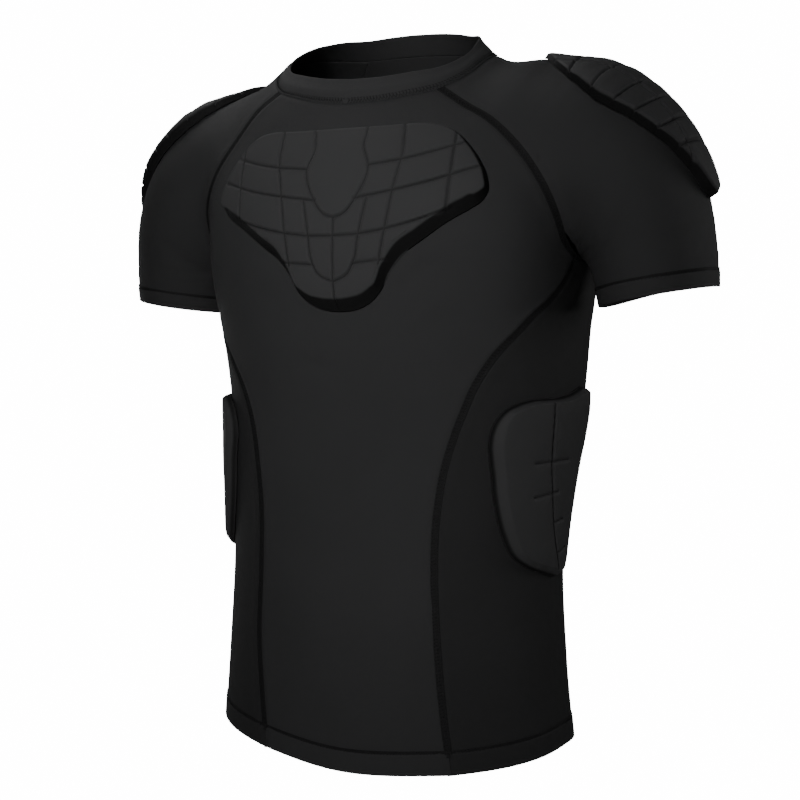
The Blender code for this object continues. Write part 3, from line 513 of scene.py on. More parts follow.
# Front and back are each drawn about a line far on the other side, so that their rays spread little:
# how far away that is, and how far from the lines the rays of these two and of the sides start
AXIS_AWAY, TRUNK_START, SIDE_START = 0.20, 0.17, 0.03
TRUNK_FRONT = core(points_of(TRUNK_AXIS) + (0.0, AXIS_AWAY, 0.0), (1.0, 0.0, 0.0), TRUNK_START)
TRUNK_BACK = core(points_of(TRUNK_AXIS) - (0.0, AXIS_AWAY, 0.0), (-1.0, 0.0, 0.0), TRUNK_START)
TRUNK_SIDE = core(points_of(TRUNK_AXIS), (0.0, 1.0, 0.0), SIDE_START)
SLEEVE = core(points_of(SLEEVE_LINE), (0.0, -1.0, 0.0), 0.0)

# %% [markdown]
# Rows and columns
#
# The grid is even over the open cloth and fine at its edges, where the cloth dips into a seam or is
# turned over. A seam's dip is a narrow bell-shaped trough with a low swelling beside it.

# %% Spacing
SEAM_STEPS = np.array([0.0, 0.0007, 0.0015, 0.0024, 0.0034, 0.0046, 0.0060, 0.0078])
HEM_FOLD_STEPS = [0.0, 0.0002, 0.0005, 0.0009, 0.0014, 0.0025, 0.0045, 0.0070, 0.0095]
HEM_STEPS = np.concatenate([HEM_FOLD_STEPS, np.arange(0.0115, 0.0235, 0.0010)])
# How deep the cloth dips at a seam and how high it swells beside it, how wide both are, and how far
# from the seam the swelling is
SEAM_DIP, DIP_WIDTH = 0.0006, 0.0030
SEAM_SWELL, SWELL_WIDTH, SWELL_AWAY = 0.0004, 0.0035, 0.0080


def spaced(length, step, first=SEAM_STEPS, last=SEAM_STEPS):
    """Shares of a length: given steps at each end and even ones between them."""
    inner = length - last[-1] - first[-1]
    middle = first[-1] + np.linspace(0.0, inner, max(int(inner / step), 2) + 1)[1:-1]
    return np.concatenate([first, middle, length - last[::-1]]) / length


def from_edges(grid):
    """How far each point is from the grid's left, right, bottom and top edges, along its row or
    its column: running sums of the steps between points."""
    across = np.linalg.norm(np.diff(grid, axis=1), axis=-1)
    up = np.linalg.norm(np.diff(grid, axis=0), axis=-1)
    left = np.concatenate([np.zeros((len(grid), 1)), np.cumsum(across, 1)], 1)
    bottom = np.concatenate([np.zeros((1, grid.shape[1])), np.cumsum(up, 0)], 0)
    return {"left": left, "right": left[:, -1:] - left, "bottom": bottom, "top": bottom[-1:] - bottom}


def seam_relief(distance):
    """The cloth's height beside a seam: a trough exp(-(d/3mm)^2) and, further out, a swelling
    exp(-((d-8mm)/3.5mm)^2)."""
    dip = SEAM_DIP * np.exp(-((distance / DIP_WIDTH) ** 2))
    return SEAM_SWELL * np.exp(-(((distance - SWELL_AWAY) / SWELL_WIDTH) ** 2)) - dip


# %% [markdown]
# Creases
#
# A compression shirt has almost none, but cloth that is stretched between a pad, a seam and an
# armpit still shows a few soft lines. Each is listed: where it starts and ends on the panel, how
# wide it is and how deep. No two are alike.

# %% Creases
CREASES = {
    "front_panel": [
        ((-0.038, 0.362), (-0.012, 0.35), 0.005, -0.0007),
        ((0.096, 0.452), (0.06, 0.42), 0.007, -0.0008),
        ((0.112, 0.43), (0.07, 0.392), 0.008, 0.0006),
        ((-0.104, 0.446), (-0.066, 0.408), 0.007, -0.0007),
        ((0.06, 0.07), (0.086, 0.15), 0.012, 0.0006),
        ((-0.07, 0.09), (-0.04, 0.2), 0.014, -0.0006),
        ((0.01, 0.25), (0.052, 0.276), 0.009, -0.0005),
    ],
    "back_panel": [
        ((-0.11, 0.47), (-0.062, 0.43), 0.008, -0.0009),
        ((0.104, 0.478), (0.066, 0.42), 0.007, -0.0007),
        ((-0.03, 0.215), (0.044, 0.236), 0.01, 0.0008),
        ((-0.052, 0.19), (0.03, 0.196), 0.011, -0.0008),
        ((0.016, 0.164), (0.078, 0.18), 0.009, -0.0006),
        ((-0.088, 0.12), (-0.06, 0.2), 0.013, 0.0006),
    ],
    "side_panel_left": [
        ((-0.03, 0.395), (0.034, 0.414), 0.008, -0.0008),
        ((0.0, 0.08), (0.022, 0.14), 0.011, 0.0006),
    ],
    "side_panel_right": [
        ((-0.026, 0.402), (0.03, 0.39), 0.008, -0.0007),
        ((-0.012, 0.06), (0.004, 0.15), 0.012, -0.0006),
    ],
    "sleeve_left": [
        ((-0.125, 0.03), (-0.084, 0.062), 0.008, -0.0009),
        ((0.13, 0.036), (0.09, 0.07), 0.009, -0.001),
        ((-0.118, 0.06), (-0.08, 0.088), 0.007, 0.0007),
    ],
    "sleeve_right": [
        ((-0.128, 0.034), (-0.09, 0.07), 0.009, -0.0009),
        ((0.124, 0.028), (0.086, 0.052), 0.008, -0.0008),
        ((0.112, 0.066), (0.076, 0.092), 0.008, 0.0007),
    ],
}
CREASE_FADE = 2.5


def crease_relief(flat, creases):
    """The height that creases add: for each, its depth times exp(-(d/width)^2), where d is the
    distance to its line, fading out towards the line's two ends."""
    height = np.zeros(flat.shape[:-1])
    for start, end, width, depth in creases:
        start, way = np.array(start), np.subtract(end, start)
        share = ((flat - start) * way).sum(-1) / (way * way).sum()
        near = start + np.clip(share, 0.0, 1.0)[..., None] * way
        away = np.linalg.norm(flat - near, axis=-1)
        fade = smoothstep(share * CREASE_FADE + 0.5) * smoothstep((1 - share) * CREASE_FADE + 0.5)
        height += depth * np.exp(-((away / width) ** 2)) * fade
    return height


# %% [markdown]
# Finishes
#
# All the cloth is the same fine knit, seen as columns of small V-shaped stitches under a
# magnifier. One shared node group draws it from the cloth's own flat coordinates in metres, so the
# stitches run along each panel as they were knitted, with painted shade between its loops. Each
# material gives it a colour, says how deep the knit shows and how unevenly its colour has worn.


# %% Node helpers
def put(nodes, kind, **values):
    """A new node with its properties set, and its inputs where a value is given by socket name."""
    node = nodes.new(kind)
    for name, value in values.items():
        if name in node.bl_rna.properties:
            setattr(node, name, value)
        else:
            node.inputs[name.replace("_", " ")].default_value = value
    return node


def maths(tree, operation, *values):
    """A Math node. Each value is a number or another node's output."""
    node = tree.nodes.new("ShaderNodeMath")
    node.operation = operation
    for socket, value in zip(node.inputs, values):
        if isinstance(value, (int, float)):
            socket.default_value = value
        else:
            tree.links.new(value, socket)
    return node.outputs[0]


def new_group(name, inputs, outputs):
    """An empty shader node group with named sockets, each a (name, kind, value) triple."""
    tree = bpy.data.node_groups.new(name, "ShaderNodeTree")
    for words, way in ((inputs, "INPUT"), (outputs, "OUTPUT")):
        for title, kind, value in words:
            socket = tree.interface.new_socket(title, in_out=way, socket_type=kind)
            if value is not None:
                socket.default_value = value
    return tree, tree.nodes.new("NodeGroupInput"), tree.nodes.new("NodeGroupOutput")


# %% The knit group
WALES_PER_METRE = 1500.0
COURSES_PER_METRE = 1900.0
# How steeply the V stands, how much of the height the loops make, and how much the fibres add
V_SLANT, LOOP_SHARE, FIBRE_SHARE = 1.3, 0.45, 0.5
# How high the bump is in metres, and how strongly it shows
KNIT_HEIGHT, KNIT_STRENGTH = 0.00025, 0.55
# How fine the noise is that wears the colour, and the noise of the fibres
WEAR_SCALE, FIBRE_SCALE, NOISE_DETAIL = 9.0, 900.0, 2.0
# The colour's share on the loops and between them (painted shade between the loops), how much it
# drifts, and the roughness's range
LOOP_SHADE_SPAN, GROUND_SHADE, WEAR_DRIFT = 0.22, 0.82, 0.25
ROUGH_RANGE, ROUGH_LOW = 0.12, 0.62
SPECULAR = 0.12


def knit_group():
    """The knit's height is a V in every cell: a sine along the column whose phase grows with the
    distance from the column's middle, times a hump across the column."""
    colour, number, way = "NodeSocketColor", "NodeSocketFloat", "NodeSocketVector"
    tree, given, made = new_group(
        "knit",
        [("Colour", colour, (0.02, 0.02, 0.02, 1)), ("Depth", number, 1.0), ("Worn", number, 1.0)],
        [("Colour", colour, None), ("Roughness", number, None), ("Normal", way, None)],
    )
    link = tree.links.new
    flat = put(tree.nodes, "ShaderNodeUVMap", uv_map="cloth")
    parts = put(tree.nodes, "ShaderNodeSeparateXYZ")
    link(flat.outputs["UV"], parts.inputs[0])
    column = maths(tree, "MULTIPLY", parts.outputs["X"], WALES_PER_METRE)
    across = maths(tree, "ABSOLUTE", maths(tree, "SUBTRACT", maths(tree, "FRACT", column), 0.5))
    course = maths(tree, "MULTIPLY", parts.outputs["Y"], COURSES_PER_METRE)
    slanted = maths(tree, "ADD", course, maths(tree, "MULTIPLY", across, V_SLANT))
    phase = maths(tree, "MULTIPLY", slanted, 2 * math.pi)
    loops = maths(tree, "MULTIPLY_ADD", maths(tree, "SINE", phase), 0.5, 0.5)
    hump = maths(tree, "COSINE", maths(tree, "MULTIPLY", across, math.pi))
    height = maths(tree, "MULTIPLY", maths(tree, "MULTIPLY_ADD", loops, LOOP_SHARE, 1 - LOOP_SHARE), hump)
    place = put(tree.nodes, "ShaderNodeTexCoord")
    broad = put(tree.nodes, "ShaderNodeTexNoise", Scale=WEAR_SCALE, Detail=NOISE_DETAIL)
    fibre = put(tree.nodes, "ShaderNodeTexNoise", Scale=FIBRE_SCALE, Detail=NOISE_DETAIL)
    link(place.outputs["Object"], broad.inputs["Vector"])
    link(place.outputs["Object"], fibre.inputs["Vector"])
    bump = put(tree.nodes, "ShaderNodeBump", Distance=KNIT_HEIGHT)
    hairy = maths(tree, "ADD", height, maths(tree, "MULTIPLY", fibre.outputs["Fac"], FIBRE_SHARE))
    link(hairy, bump.inputs["Height"])
    link(maths(tree, "MULTIPLY", given.outputs["Depth"], KNIT_STRENGTH), bump.inputs["Strength"])
    link(bump.outputs["Normal"], made.inputs["Normal"])
    # The colour follows the knit's height: painted shade, darker between the loops than on them.
    tone = maths(tree, "MULTIPLY_ADD", height, LOOP_SHADE_SPAN, GROUND_SHADE)
    drift = maths(tree, "MULTIPLY", maths(tree, "SUBTRACT", broad.outputs["Fac"], 0.5), given.outputs["Worn"])
    tone = maths(tree, "MULTIPLY", tone, maths(tree, "MULTIPLY_ADD", drift, WEAR_DRIFT, 1.0))
    tint = put(tree.nodes, "ShaderNodeVectorMath", operation="SCALE")
    link(given.outputs["Colour"], tint.inputs[0])
    link(tone, tint.inputs["Scale"])
    link(tint.outputs[0], made.inputs["Colour"])
    rough = maths(tree, "MULTIPLY_ADD", fibre.outputs["Fac"], ROUGH_RANGE, ROUGH_LOW)
    link(rough, made.inputs["Roughness"])
    return tree


KNIT = knit_group()


def cloth_material(name, colour, depth=1.0, worn=1.0, wall_shade=0.0, grooves=0.0):
    """A knit of one colour. On a pad, painted shade darkens the cover on its wall and in its grooves,
    by the given shares, where little light gets in. The pad's second map, form, says where they are."""
    material = bpy.data.materials.new(name)
    material.use_nodes = True
    nodes, link = material.node_tree.nodes, material.node_tree.links.new
    shader = nodes["Principled BSDF"]
    shader.inputs["Specular IOR Level"].default_value = SPECULAR
    group = nodes.new("ShaderNodeGroup")
    group.node_tree = KNIT
    group.inputs["Colour"].default_value = (*colour, 1.0)
    group.inputs["Depth"].default_value = depth
    group.inputs["Worn"].default_value = worn
    if wall_shade or grooves:
        form = put(nodes, "ShaderNodeUVMap", uv_map="form")
        parts = put(nodes, "ShaderNodeSeparateXYZ")
        link(form.outputs["UV"], parts.inputs[0])
        wall_painted_shade = maths(material.node_tree, "MULTIPLY_ADD", parts.outputs["X"], -wall_shade, 1.0)
        groove_painted_shade = maths(material.node_tree, "MULTIPLY_ADD", parts.outputs["Y"], -grooves, 1.0)
        shaded = put(nodes, "ShaderNodeVectorMath", operation="SCALE")
        link(group.outputs["Colour"], shaded.inputs[0])
        link(maths(material.node_tree, "MULTIPLY", wall_painted_shade, groove_painted_shade), shaded.inputs["Scale"])
        link(shaded.outputs[0], shader.inputs["Base Color"])
    else:
        link(group.outputs["Colour"], shader.inputs["Base Color"])
    link(group.outputs["Roughness"], shader.inputs["Roughness"])
    link(group.outputs["Normal"], shader.inputs["Normal"])
    return material


CLOTH_FINISH = cloth_material("stretch_knit", (0.0215, 0.0215, 0.0222))
# The side panels get the same knit in a darker colour than the front and back.
SIDE_FINISH = cloth_material("side_knit", (0.0142, 0.0142, 0.0146))
COLLAR_FINISH = cloth_material("collar_knit", (0.0225, 0.0225, 0.0232), 0.8)
# The pads' cover: a lighter knit of its own, with painted shade on the wall and in the grooves.
PAD_KNIT_AND_SHADE = cloth_material("pad_knit_painted_shade", (0.0285, 0.0285, 0.0292), 0.7, 0.6, 0.80, 0.50)
BAND_FINISH = cloth_material("seam_band", (0.0085, 0.0085, 0.0088), 0.5, 0.3)
THREAD_FINISH = cloth_material("thread", (0.0055, 0.0055, 0.0057), 0.3, 0.3)

# %% [markdown]
# Making meshes
#
# A shell of cloth is two grids, its outer and its inner side, joined round the rim. A band is a
# profile carried along a seam. Both end up as one closed mesh whose faces look outwards.


# %% Meshes
def cells(number):
    """The four-cornered faces of a grid of point numbers."""
    return np.stack([number[:-1, :-1], number[:-1, 1:], number[1:, 1:], number[1:, :-1]], -1).reshape(-1, 4)


def halved(faces):
    """Four-cornered faces cut into triangles."""
    return np.concatenate([faces[:, [0, 1, 2]], faces[:, [0, 2, 3]]])


def coarse_side(number, every):
    """Triangles over a grid of point numbers that keep its whole rim but, inside it, only every
    few rows and columns. Each step of the rim is joined to the nearest kept point, and where that
    point changes, a triangle fills the gap."""
    rows, columns = (np.arange(every, size - every // 2 - 1, every) for size in number.shape)
    inner = number[np.ix_(rows, columns)]
    last, end = number.shape[0] - 1, number.shape[1] - 1
    up, over = np.arange(last), np.arange(end)
    row = np.concatenate([0 * over, up, 0 * over + last, last - up])
    column = np.concatenate([over, 0 * up + end, end - over, 0 * up])
    around = number[row, column]
    half_row, half_column = (row + np.roll(row, -1)) / 2, (column + np.roll(column, -1)) / 2
    nearest_row = np.abs(rows[:, None] - half_row).argmin(0)
    nearest_column = np.abs(columns[:, None] - half_column).argmin(0)
    apex = inner[nearest_row, nearest_column]
    before = np.roll(apex, 1)
    fans = np.stack([around, np.roll(around, -1), apex], -1)
    links = np.stack([around, apex, before], -1)[apex != before]
    return np.concatenate([halved(cells(inner)), fans, links])


def used_only(points, faces, *more):
    """The points that faces use, the faces in their numbering, and other lists cut to match."""
    used, place = np.unique(faces, return_inverse=True)
    return [points[used], place.reshape(faces.shape)] + [values[used] for values in more]


def placed(points, mirrored):
    """Points of the left half where they belong: mirrored for the right half, with the neck's tilt,
    which is a smooth shift along Z, and the waist's lean, which is one along X for each height."""
    points = mirror(points) if mirrored else np.array(points)
    tilt = through(points[..., 2], TILT_HEIGHTS["height"], TILT_HEIGHTS["share"])
    tilt = tilt * through(np.abs(points[..., 0]), TILT_ACROSS["away"], TILT_ACROSS["share"])
    points[..., 2] -= NECK_TILT * points[..., 0] * tilt
    points[..., 0] += through(points[..., 2], LEAN["height"], LEAN["shift"])
    return points


def add_mesh(name, points, faces, flat, material, mirrored=False, turned=False):
    """A mesh object that rides on the shirt's one body. Flat holds each point's place on the cloth
    in metres. Turned reverses the faces."""
    points = placed(points.reshape(-1, 3), mirrored)
    if mirrored != turned:
        faces = faces[:, ::-1]
    mesh = bpy.data.meshes.new(name)
    mesh.vertices.add(len(points))
    mesh.vertices.foreach_set("co", points.astype(np.float32).ravel())
    mesh.loops.add(faces.size)
    mesh.loops.foreach_set("vertex_index", faces.astype(np.int32).ravel())
    mesh.polygons.add(len(faces))
    mesh.polygons.foreach_set("loop_start", np.arange(0, faces.size, faces.shape[1], dtype=np.int32))
    layer = mesh.uv_layers.new(name="cloth")
    layer.data.foreach_set("uv", flat.reshape(-1, 2)[faces.ravel()].astype(np.float32).ravel())
    mesh.update(calc_edges=True)
    mesh.validate()
    mesh.shade_smooth()
    mesh.materials.append(material)
    piece = bpy.data.objects.new(name, mesh)
    bpy.context.scene.collection.objects.link(piece)
    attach(piece, "root")
    return piece


def faces_of(mesh):
    """The point number of each corner of a mesh's faces, in the mesh's own order."""
    corners = np.zeros(len(mesh.loops), dtype=np.int32)
    mesh.loops.foreach_get("vertex_index", corners)
    return corners


def faces_in(points, faces, ways):
    """Whether a mesh's first face looks against the given outward ways, by the sign of the triple
    product of two of its sides and the way there."""
    a, b, d = points[faces[0, 0]], points[faces[0, 1]], points[faces[0, -1]]
    return bool((np.cross(b - a, d - a) * ways[faces[0, 0]]).sum() < 0)


def area_of(grid):
    """The area of a grid: half the cross product of each cell's two diagonals, summed."""
    diagonals = grid[1:, 1:] - grid[:-1, :-1], grid[1:, :-1] - grid[:-1, 1:]
    return float(np.linalg.norm(np.cross(*diagonals), axis=-1).sum() / 2)


# %% A shell of cloth
STRETCH = 1.12


def shell(name, grid, relief, material, slot, mirrored, flat, closed=False):
    """A closed shell on a grid: the inner side lies on the figure, and the outer side is moved out
    by the cloth's thickness and its relief. At the grid's lower edge the two meet in a round fold.
    The inner side keeps only every second row and column, save on a shell that closes round."""
    ways = outward(grid)
    distance = from_edges(grid)
    fold = np.sqrt(1 - np.clip(1 - distance["bottom"] / FOLD_ROUND, 0.0, 1.0) ** 2)
    height = CLOTH + relief
    outer = grid + (height * (0.5 + 0.5 * fold))[..., None] * ways
    inner = grid + (height * (0.5 - 0.5 * fold))[..., None] * ways
    rows, columns = grid.shape[:2]
    number = np.arange(rows * columns).reshape(rows, columns)
    if closed:
        number = np.concatenate([number, number[:, :1]], 1)
    total = rows * columns
    around = [number[0], number[-1][::-1]]
    if not closed:
        around += [number[:, -1], number[:, 0][::-1]]
    within = halved(cells(number + total)) if closed else coarse_side(number + total, 2)
    faces = [halved(cells(number)), within[:, ::-1]]
    faces += [halved(cells(np.stack([rim, rim + total])))[:, ::-1] for rim in around]
    points = np.concatenate([outer.reshape(-1, 3), inner.reshape(-1, 3)])
    faces = np.concatenate(faces)
    turned = faces_in(points, faces, ways.reshape(-1, 3))
    points, faces, both = used_only(points, faces, np.concatenate([flat.reshape(-1, 2)] * 2))
    return add_mesh(name, points, faces, both, material, mirrored, turned)


def flat_of(grid):
    """Each point's place on the cloth: across from the middle of its row, and up its column."""
    distance = from_edges(grid)
    return np.stack([(distance["left"] - distance["right"]) / 2, distance["bottom"]], -1)


def declare_sheet(piece, grid):
    """Prints how large a piece's cut is: its worn size over the cloth's stretch, both ways."""
    distance = from_edges(grid)
    width, length = distance["left"][:, -1].max() / STRETCH, distance["bottom"][-1].max()
    area = area_of(grid) / STRETCH
    size = f"{round(1000 * width)} by {round(1000 * length)} mm, {round(1e4 * area)} cm2"
    print(piece.name, "is cut", size)


# %% [markdown]
# The panels
#
# Front and back reach from the hem to the neckline, between the side seams and the raglan seams.
# The side panels fill the gap between them up to the armpit. The hem is turned over and stitched.

# %% The trunk's panels
STEP = 0.0030


def joined(first, second):
    """Two lines that meet, as one."""
    return np.concatenate([first, second[1:]])


def trunk_patch(lines, bottom, top, left, right):
    """A trunk panel's grid, fine at its hem and at its seams."""
    length = (marks_of(left)[-1] + marks_of(right)[-1]) / 2
    width = max(marks_of(bottom)[-1], marks_of(top)[-1])
    return patch(lines, bottom, top, left, right, spaced(width, STEP), spaced(length, STEP, HEM_STEPS))


def panel_relief(name, grid, hem_width):
    """The relief of a panel or a sleeve: its turned hem or cuff, which is so wide, the seams on its
    other edges, and its creases."""
    distance = from_edges(grid)
    hem = HEM_EXTRA * smoothstep((hem_width - distance["bottom"]) / HEM_END + 0.5)
    edges = np.minimum(np.minimum(distance["left"], distance["right"]), distance["top"])
    return hem + seam_relief(edges) + crease_relief(flat_of(grid), CREASES[name])


def seam_ends(name):
    """The hem points where a pair of seams ends: on the wearer's left and on the right."""
    return LEFT[name][0], mirror(RIGHT[name][0])


hem_left, hem_right = seam_ends("side_front")
front_hem = hem_line(hem_right, HEM_FRONT_POINT, hem_left)
back_left, back_right = seam_ends("side_back")
back_hem = hem_line(back_left, HEM_BACK_POINT, back_right)
GRIDS = {
    "front_panel": trunk_patch(
        TRUNK_FRONT,
        front_hem,
        joined(mirror(LEFT["neck_front"])[::-1], LEFT["neck_front"]),
        mirror(joined(RIGHT["side_front"], RIGHT["raglan_front"])),
        joined(LEFT["side_front"], LEFT["raglan_front"]),
    ),
    "back_panel": trunk_patch(
        TRUNK_BACK,
        back_hem,
        joined(LEFT["neck_back"], mirror(LEFT["neck_back"])[::-1]),
        joined(LEFT["side_back"], LEFT["raglan_back"]),
        mirror(joined(RIGHT["side_back"], RIGHT["raglan_back"])),
    ),
}
for side, lines in (("left", LEFT), ("right", RIGHT)):
    front, back = lines["side_front"], lines["side_back"]
    side_hem = hem_line(front[0], HEM_SIDE_POINT, back[0])
    GRIDS["side_panel_" + side] = trunk_patch(TRUNK_SIDE, side_hem, lines["underarm"], front, back)
for name, grid in GRIDS.items():
    print(name, "has", grid.shape[0], "rows and", grid.shape[1], "columns")


# %% [markdown]
# The sleeves
#
# A raglan sleeve is one piece from the cuff to the collar. Below the armpit its two edges meet in
# the short underarm seam, then they part round the end of the side panel and run up to the neck.

# %% The sleeve's grid
# About how far a cuff is round, which sets how many columns the sleeve has
CUFF_ROUND = 0.30


def sleeve_patch(lines):
    """The left sleeve's grid: rows from the cuff up to the neck, each from the front edge over the
    outside of the arm to the back edge."""
    arc = evenly(lines["underarm"], 201)
    middle = len(arc) // 2
    tip_at, tip_turn = chart(SLEEVE, arc[middle][None])[0]
    cuff_at = np.interp(-CUFF_HEIGHT, -SLEEVE["line"][:, 2], marks_of(SLEEVE["line"]))
    up = cuff_at + CUFF_TILT - tip_at
    rise = np.linspace(0.0, up, 24)[:-1]
    turn = math.pi + (tip_turn % (2 * math.pi) - math.pi) * rise / up
    underarm = on_figure(SLEEVE, (cuff_at + CUFF_TILT - rise)[:, None], turn[:, None])[:, 0]
    front = np.concatenate([underarm, arc[middle::-1], lines["raglan_front"][1:]])
    back = np.concatenate([underarm, arc[middle:], lines["raglan_back"][1:]])
    length = (marks_of(front)[-1] + marks_of(back)[-1]) / 2
    columns = spaced(CUFF_ROUND, STEP)
    round_turn = math.pi * (1 - 2 * columns)
    raised = CUFF_TILT * np.cos(round_turn) + CUFF_RISE * np.maximum(-np.sin(round_turn), 0.0) ** 2
    cuff = on_figure(SLEEVE, (cuff_at - raised)[None], round_turn[None])[0]
    rows = spaced(length, STEP, HEM_STEPS * CUFF_WIDTH / HEM_WIDTH)
    return patch(SLEEVE, cuff, lines["neck_side"], front, back, columns, rows, 3)


GRIDS["sleeve"] = sleeve_patch(LEFT)
print("the sleeve has", GRIDS["sleeve"].shape[0], "rows and", GRIDS["sleeve"].shape[1], "columns")


# %% Half a seam's gap on every edge
def draw_in(grid, distance):
    """Draws a grid's four edges in by a distance, across each edge and along the surface."""
    grid = grid.copy()
    for axis in (0, 1):
        rows = np.moveaxis(grid, axis, 0)
        for edge, inner in ((0, 1), (-1, -2)):
            across = np.cross(outward(rows[edge]), np.gradient(rows[edge], axis=0))
            across *= np.sign((across * (rows[inner] - rows[edge])).sum(-1, keepdims=True))
            rows[edge] += distance * unit(across)
    return grid


GRIDS = {name: draw_in(grid, SEAM_GAP / 2) for name, grid in GRIDS.items()}
GRIDS["sleeve_left"] = GRIDS["sleeve_right"] = GRIDS.pop("sleeve")
PIECES, PARTS = {}, {}
for name, grid in GRIDS.items():
    finish, slot = (SIDE_FINISH, "side_cloth") if "side" in name else (CLOTH_FINISH, "stretch_cloth")
    height = panel_relief(name, grid, CUFF_WIDTH if "sleeve" in name else HEM_WIDTH)
    piece = shell("cloth_" + name, grid, height, finish, slot, name.endswith("right"), flat_of(grid))
    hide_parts(name)
    PIECES[name], PARTS[name] = piece, []


# %% [markdown]
# The collar
#
# The crew collar is a band folded in two and sewn round the neckline. It climbs the neck from the
# seam, a little thicker than the rest, and its upper edge is the fold.


# %% The collar
# How far up from the seam the collar's rows lie past the seam's own, and those in its fold
COLLAR_STEPS = np.linspace(0.0098, 0.0190, 6)
COLLAR_FOLD_STEPS = [0.0196, 0.0202, 0.0206, 0.0209, 0.0210]
HALF_RING_POINTS = 150


def climb(points, height, steps):
    """Points moved up along the figure's surface by a height, a few short steps at a time."""
    for _ in range(steps):
        way = outward(points)
        rise = np.array([0.0, 0.0, 1.0]) - way[:, 2:] * way
        points = settle(points + height / steps * unit(rise))
    return points


neck_half = np.concatenate([LEFT["neck_front"][:-1], LEFT["neck_side"][:-1], LEFT["neck_back"]])
neck_half = evenly(neck_half, HALF_RING_POINTS)
NECK_RING = np.concatenate([neck_half, mirror(neck_half)[-2:0:-1]])
rises = np.concatenate([[SEAM_GAP], SEAM_STEPS[1:], COLLAR_STEPS, COLLAR_FOLD_STEPS])
collar_grid = [climb(NECK_RING, rises[0], 2)]
for low, high in zip(rises[:-1], rises[1:]):
    collar_grid.append(climb(collar_grid[-1], high - low, 1))
collar_grid = np.stack(collar_grid)[::-1]
up_collar = from_edges(collar_grid)["top"]
around_collar = np.broadcast_to(marks_of(NECK_RING), up_collar.shape)
collar_relief = COLLAR_THICK - CLOTH + seam_relief(up_collar)
collar_flat = np.stack([around_collar, up_collar], -1)
look = (COLLAR_FINISH, "collar_cloth", False)
piece = shell("cloth_collar", collar_grid, collar_relief, *look, collar_flat, closed=True)
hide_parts("collar")
PIECES["collar"], PARTS["collar"] = piece, []

# %% [markdown]
# Seam bands and stitches
#
# A flat seam is covered by a band of threads: two rows of needle stitches with looper thread
# running to and fro between them. The band is a low profile carried along the seam line. The
# stitches are small closed bars laid on it in rows, all of one seam's in one mesh.

# %% Bands
BAND_TOP = np.array([-1.0, -0.90, -0.72, -0.45, 0.0, 0.45, 0.72, 0.90, 1.0])
BAND_UNDER = np.array([1.0, 0.5, 0.0, -0.5, -1.0])
BAND_THICK = 0.00035
BAND_STEP = 0.0020
# How far it stands off the cloth, where it starts to thin towards its edges, over what share and by
# how much, and how deep and how wide the dip along its middle is
BAND_CLEAR = 0.00005
BAND_EDGE, EDGE_SPAN, EDGE_THIN = 0.8, 0.2, 0.85
MIDDLE_DIP, MIDDLE_WIDTH = 0.35, 0.25


def way_along(line, closed):
    """The way in which a line runs at each of its points."""
    if closed:
        return unit(np.roll(line, -1, axis=0) - np.roll(line, 1, axis=0))
    return unit(np.gradient(line, axis=0))


def across_line(line, shift, closed):
    """Points beside a line on the figure, at given distances to its side, and the outward ways."""
    across = unit(np.cross(outward(line), way_along(line, closed)))
    points = settle(line[:, None] + shift[None, :, None] * across[:, None], 3)
    return points, outward(points)


def band_height(shift, lift):
    """The band's underside follows the cloth beside the seam. Its top is a low hump with a ridge
    on each side, where the needle threads pull the looper threads down between them."""
    under = lift + seam_relief(np.abs(shift)) + BAND_CLEAR
    share = np.abs(shift) / (SEAM_WIDTH / 2)
    edge = 1 - EDGE_THIN * smoothstep((share - BAND_EDGE) / EDGE_SPAN)
    middle = 1 - MIDDLE_DIP * np.exp(-((share / MIDDLE_WIDTH) ** 2))
    return under, under + BAND_THICK * edge * middle


def band(name, line, lift, owner, mirrored, closed, width, finish):
    """A flat closed band along a line on the figure."""
    shift = np.concatenate([BAND_TOP, BAND_UNDER]) * width / 2
    points, ways = across_line(line, shift, closed)
    under, top = band_height(shift * SEAM_WIDTH / width, lift)
    height = np.where(np.arange(len(shift)) < len(BAND_TOP), top, under)
    ring = points + height[None, :, None] * ways
    rows, columns = ring.shape[:2]
    number = np.arange(rows * columns).reshape(rows, columns)
    number = np.concatenate([number, number[:, :1]], 1)
    if closed:
        number = np.concatenate([number, number[:1]], 0)
    faces = [halved(cells(number))]
    if not closed:
        fan = np.stack([np.full(columns - 2, 0), np.arange(1, columns - 1), np.arange(2, columns)], -1)
        faces += [number[0][fan[:, ::-1]], number[-1][fan]]
    faces = np.concatenate(faces)
    flat = np.stack(np.broadcast_arrays(shift[None, :], marks_of(line)[:, None]), -1)
    points = ring.reshape(-1, 3)
    turned = faces_in(points, faces, ways.reshape(-1, 3))
    PARTS[owner].append(add_mesh(name, points, faces, flat, finish, mirrored, turned))


# %% Stitches
BAR = np.array(
    [
        (-0.5, 0.0, 0.1), (-0.34, -0.5, 0.0), (-0.34, 0.0, 1.0), (-0.34, 0.5, 0.0), (0.34, -0.5, 0.0),
        (0.34, 0.0, 1.0), (0.34, 0.5, 0.0), (0.5, 0.0, 0.1),
    ]
)
BAR_FACES = np.array(
    [
        *((0, 2, 1), (0, 3, 2), (0, 1, 3), (1, 2, 5), (1, 5, 4), (2, 3, 6)),
        *((2, 6, 5), (3, 1, 4), (3, 4, 6), (7, 4, 5), (7, 5, 6), (7, 6, 4)),
    ]
)
BAR_WIDTH = 0.0006
BAR_HEIGHT = 0.00035
THREAD_STEP = 0.0030
# How far from the band's middle the rows lie, as a share of its width, and how much of each step a
# stitch takes to either side. By these shares of that, the looper's ends lie ahead of a stitch's
# middle and short of the next one's.
ROW_SHARE, STITCH_SHARE = 0.36, 0.38
LOOPER_END, LOOPER_START = 0.8, 0.4
# How deep the needle's thread and the looper lie in the band
NEEDLE_SUNK, LOOPER_SUNK = 0.00005, 0.00030


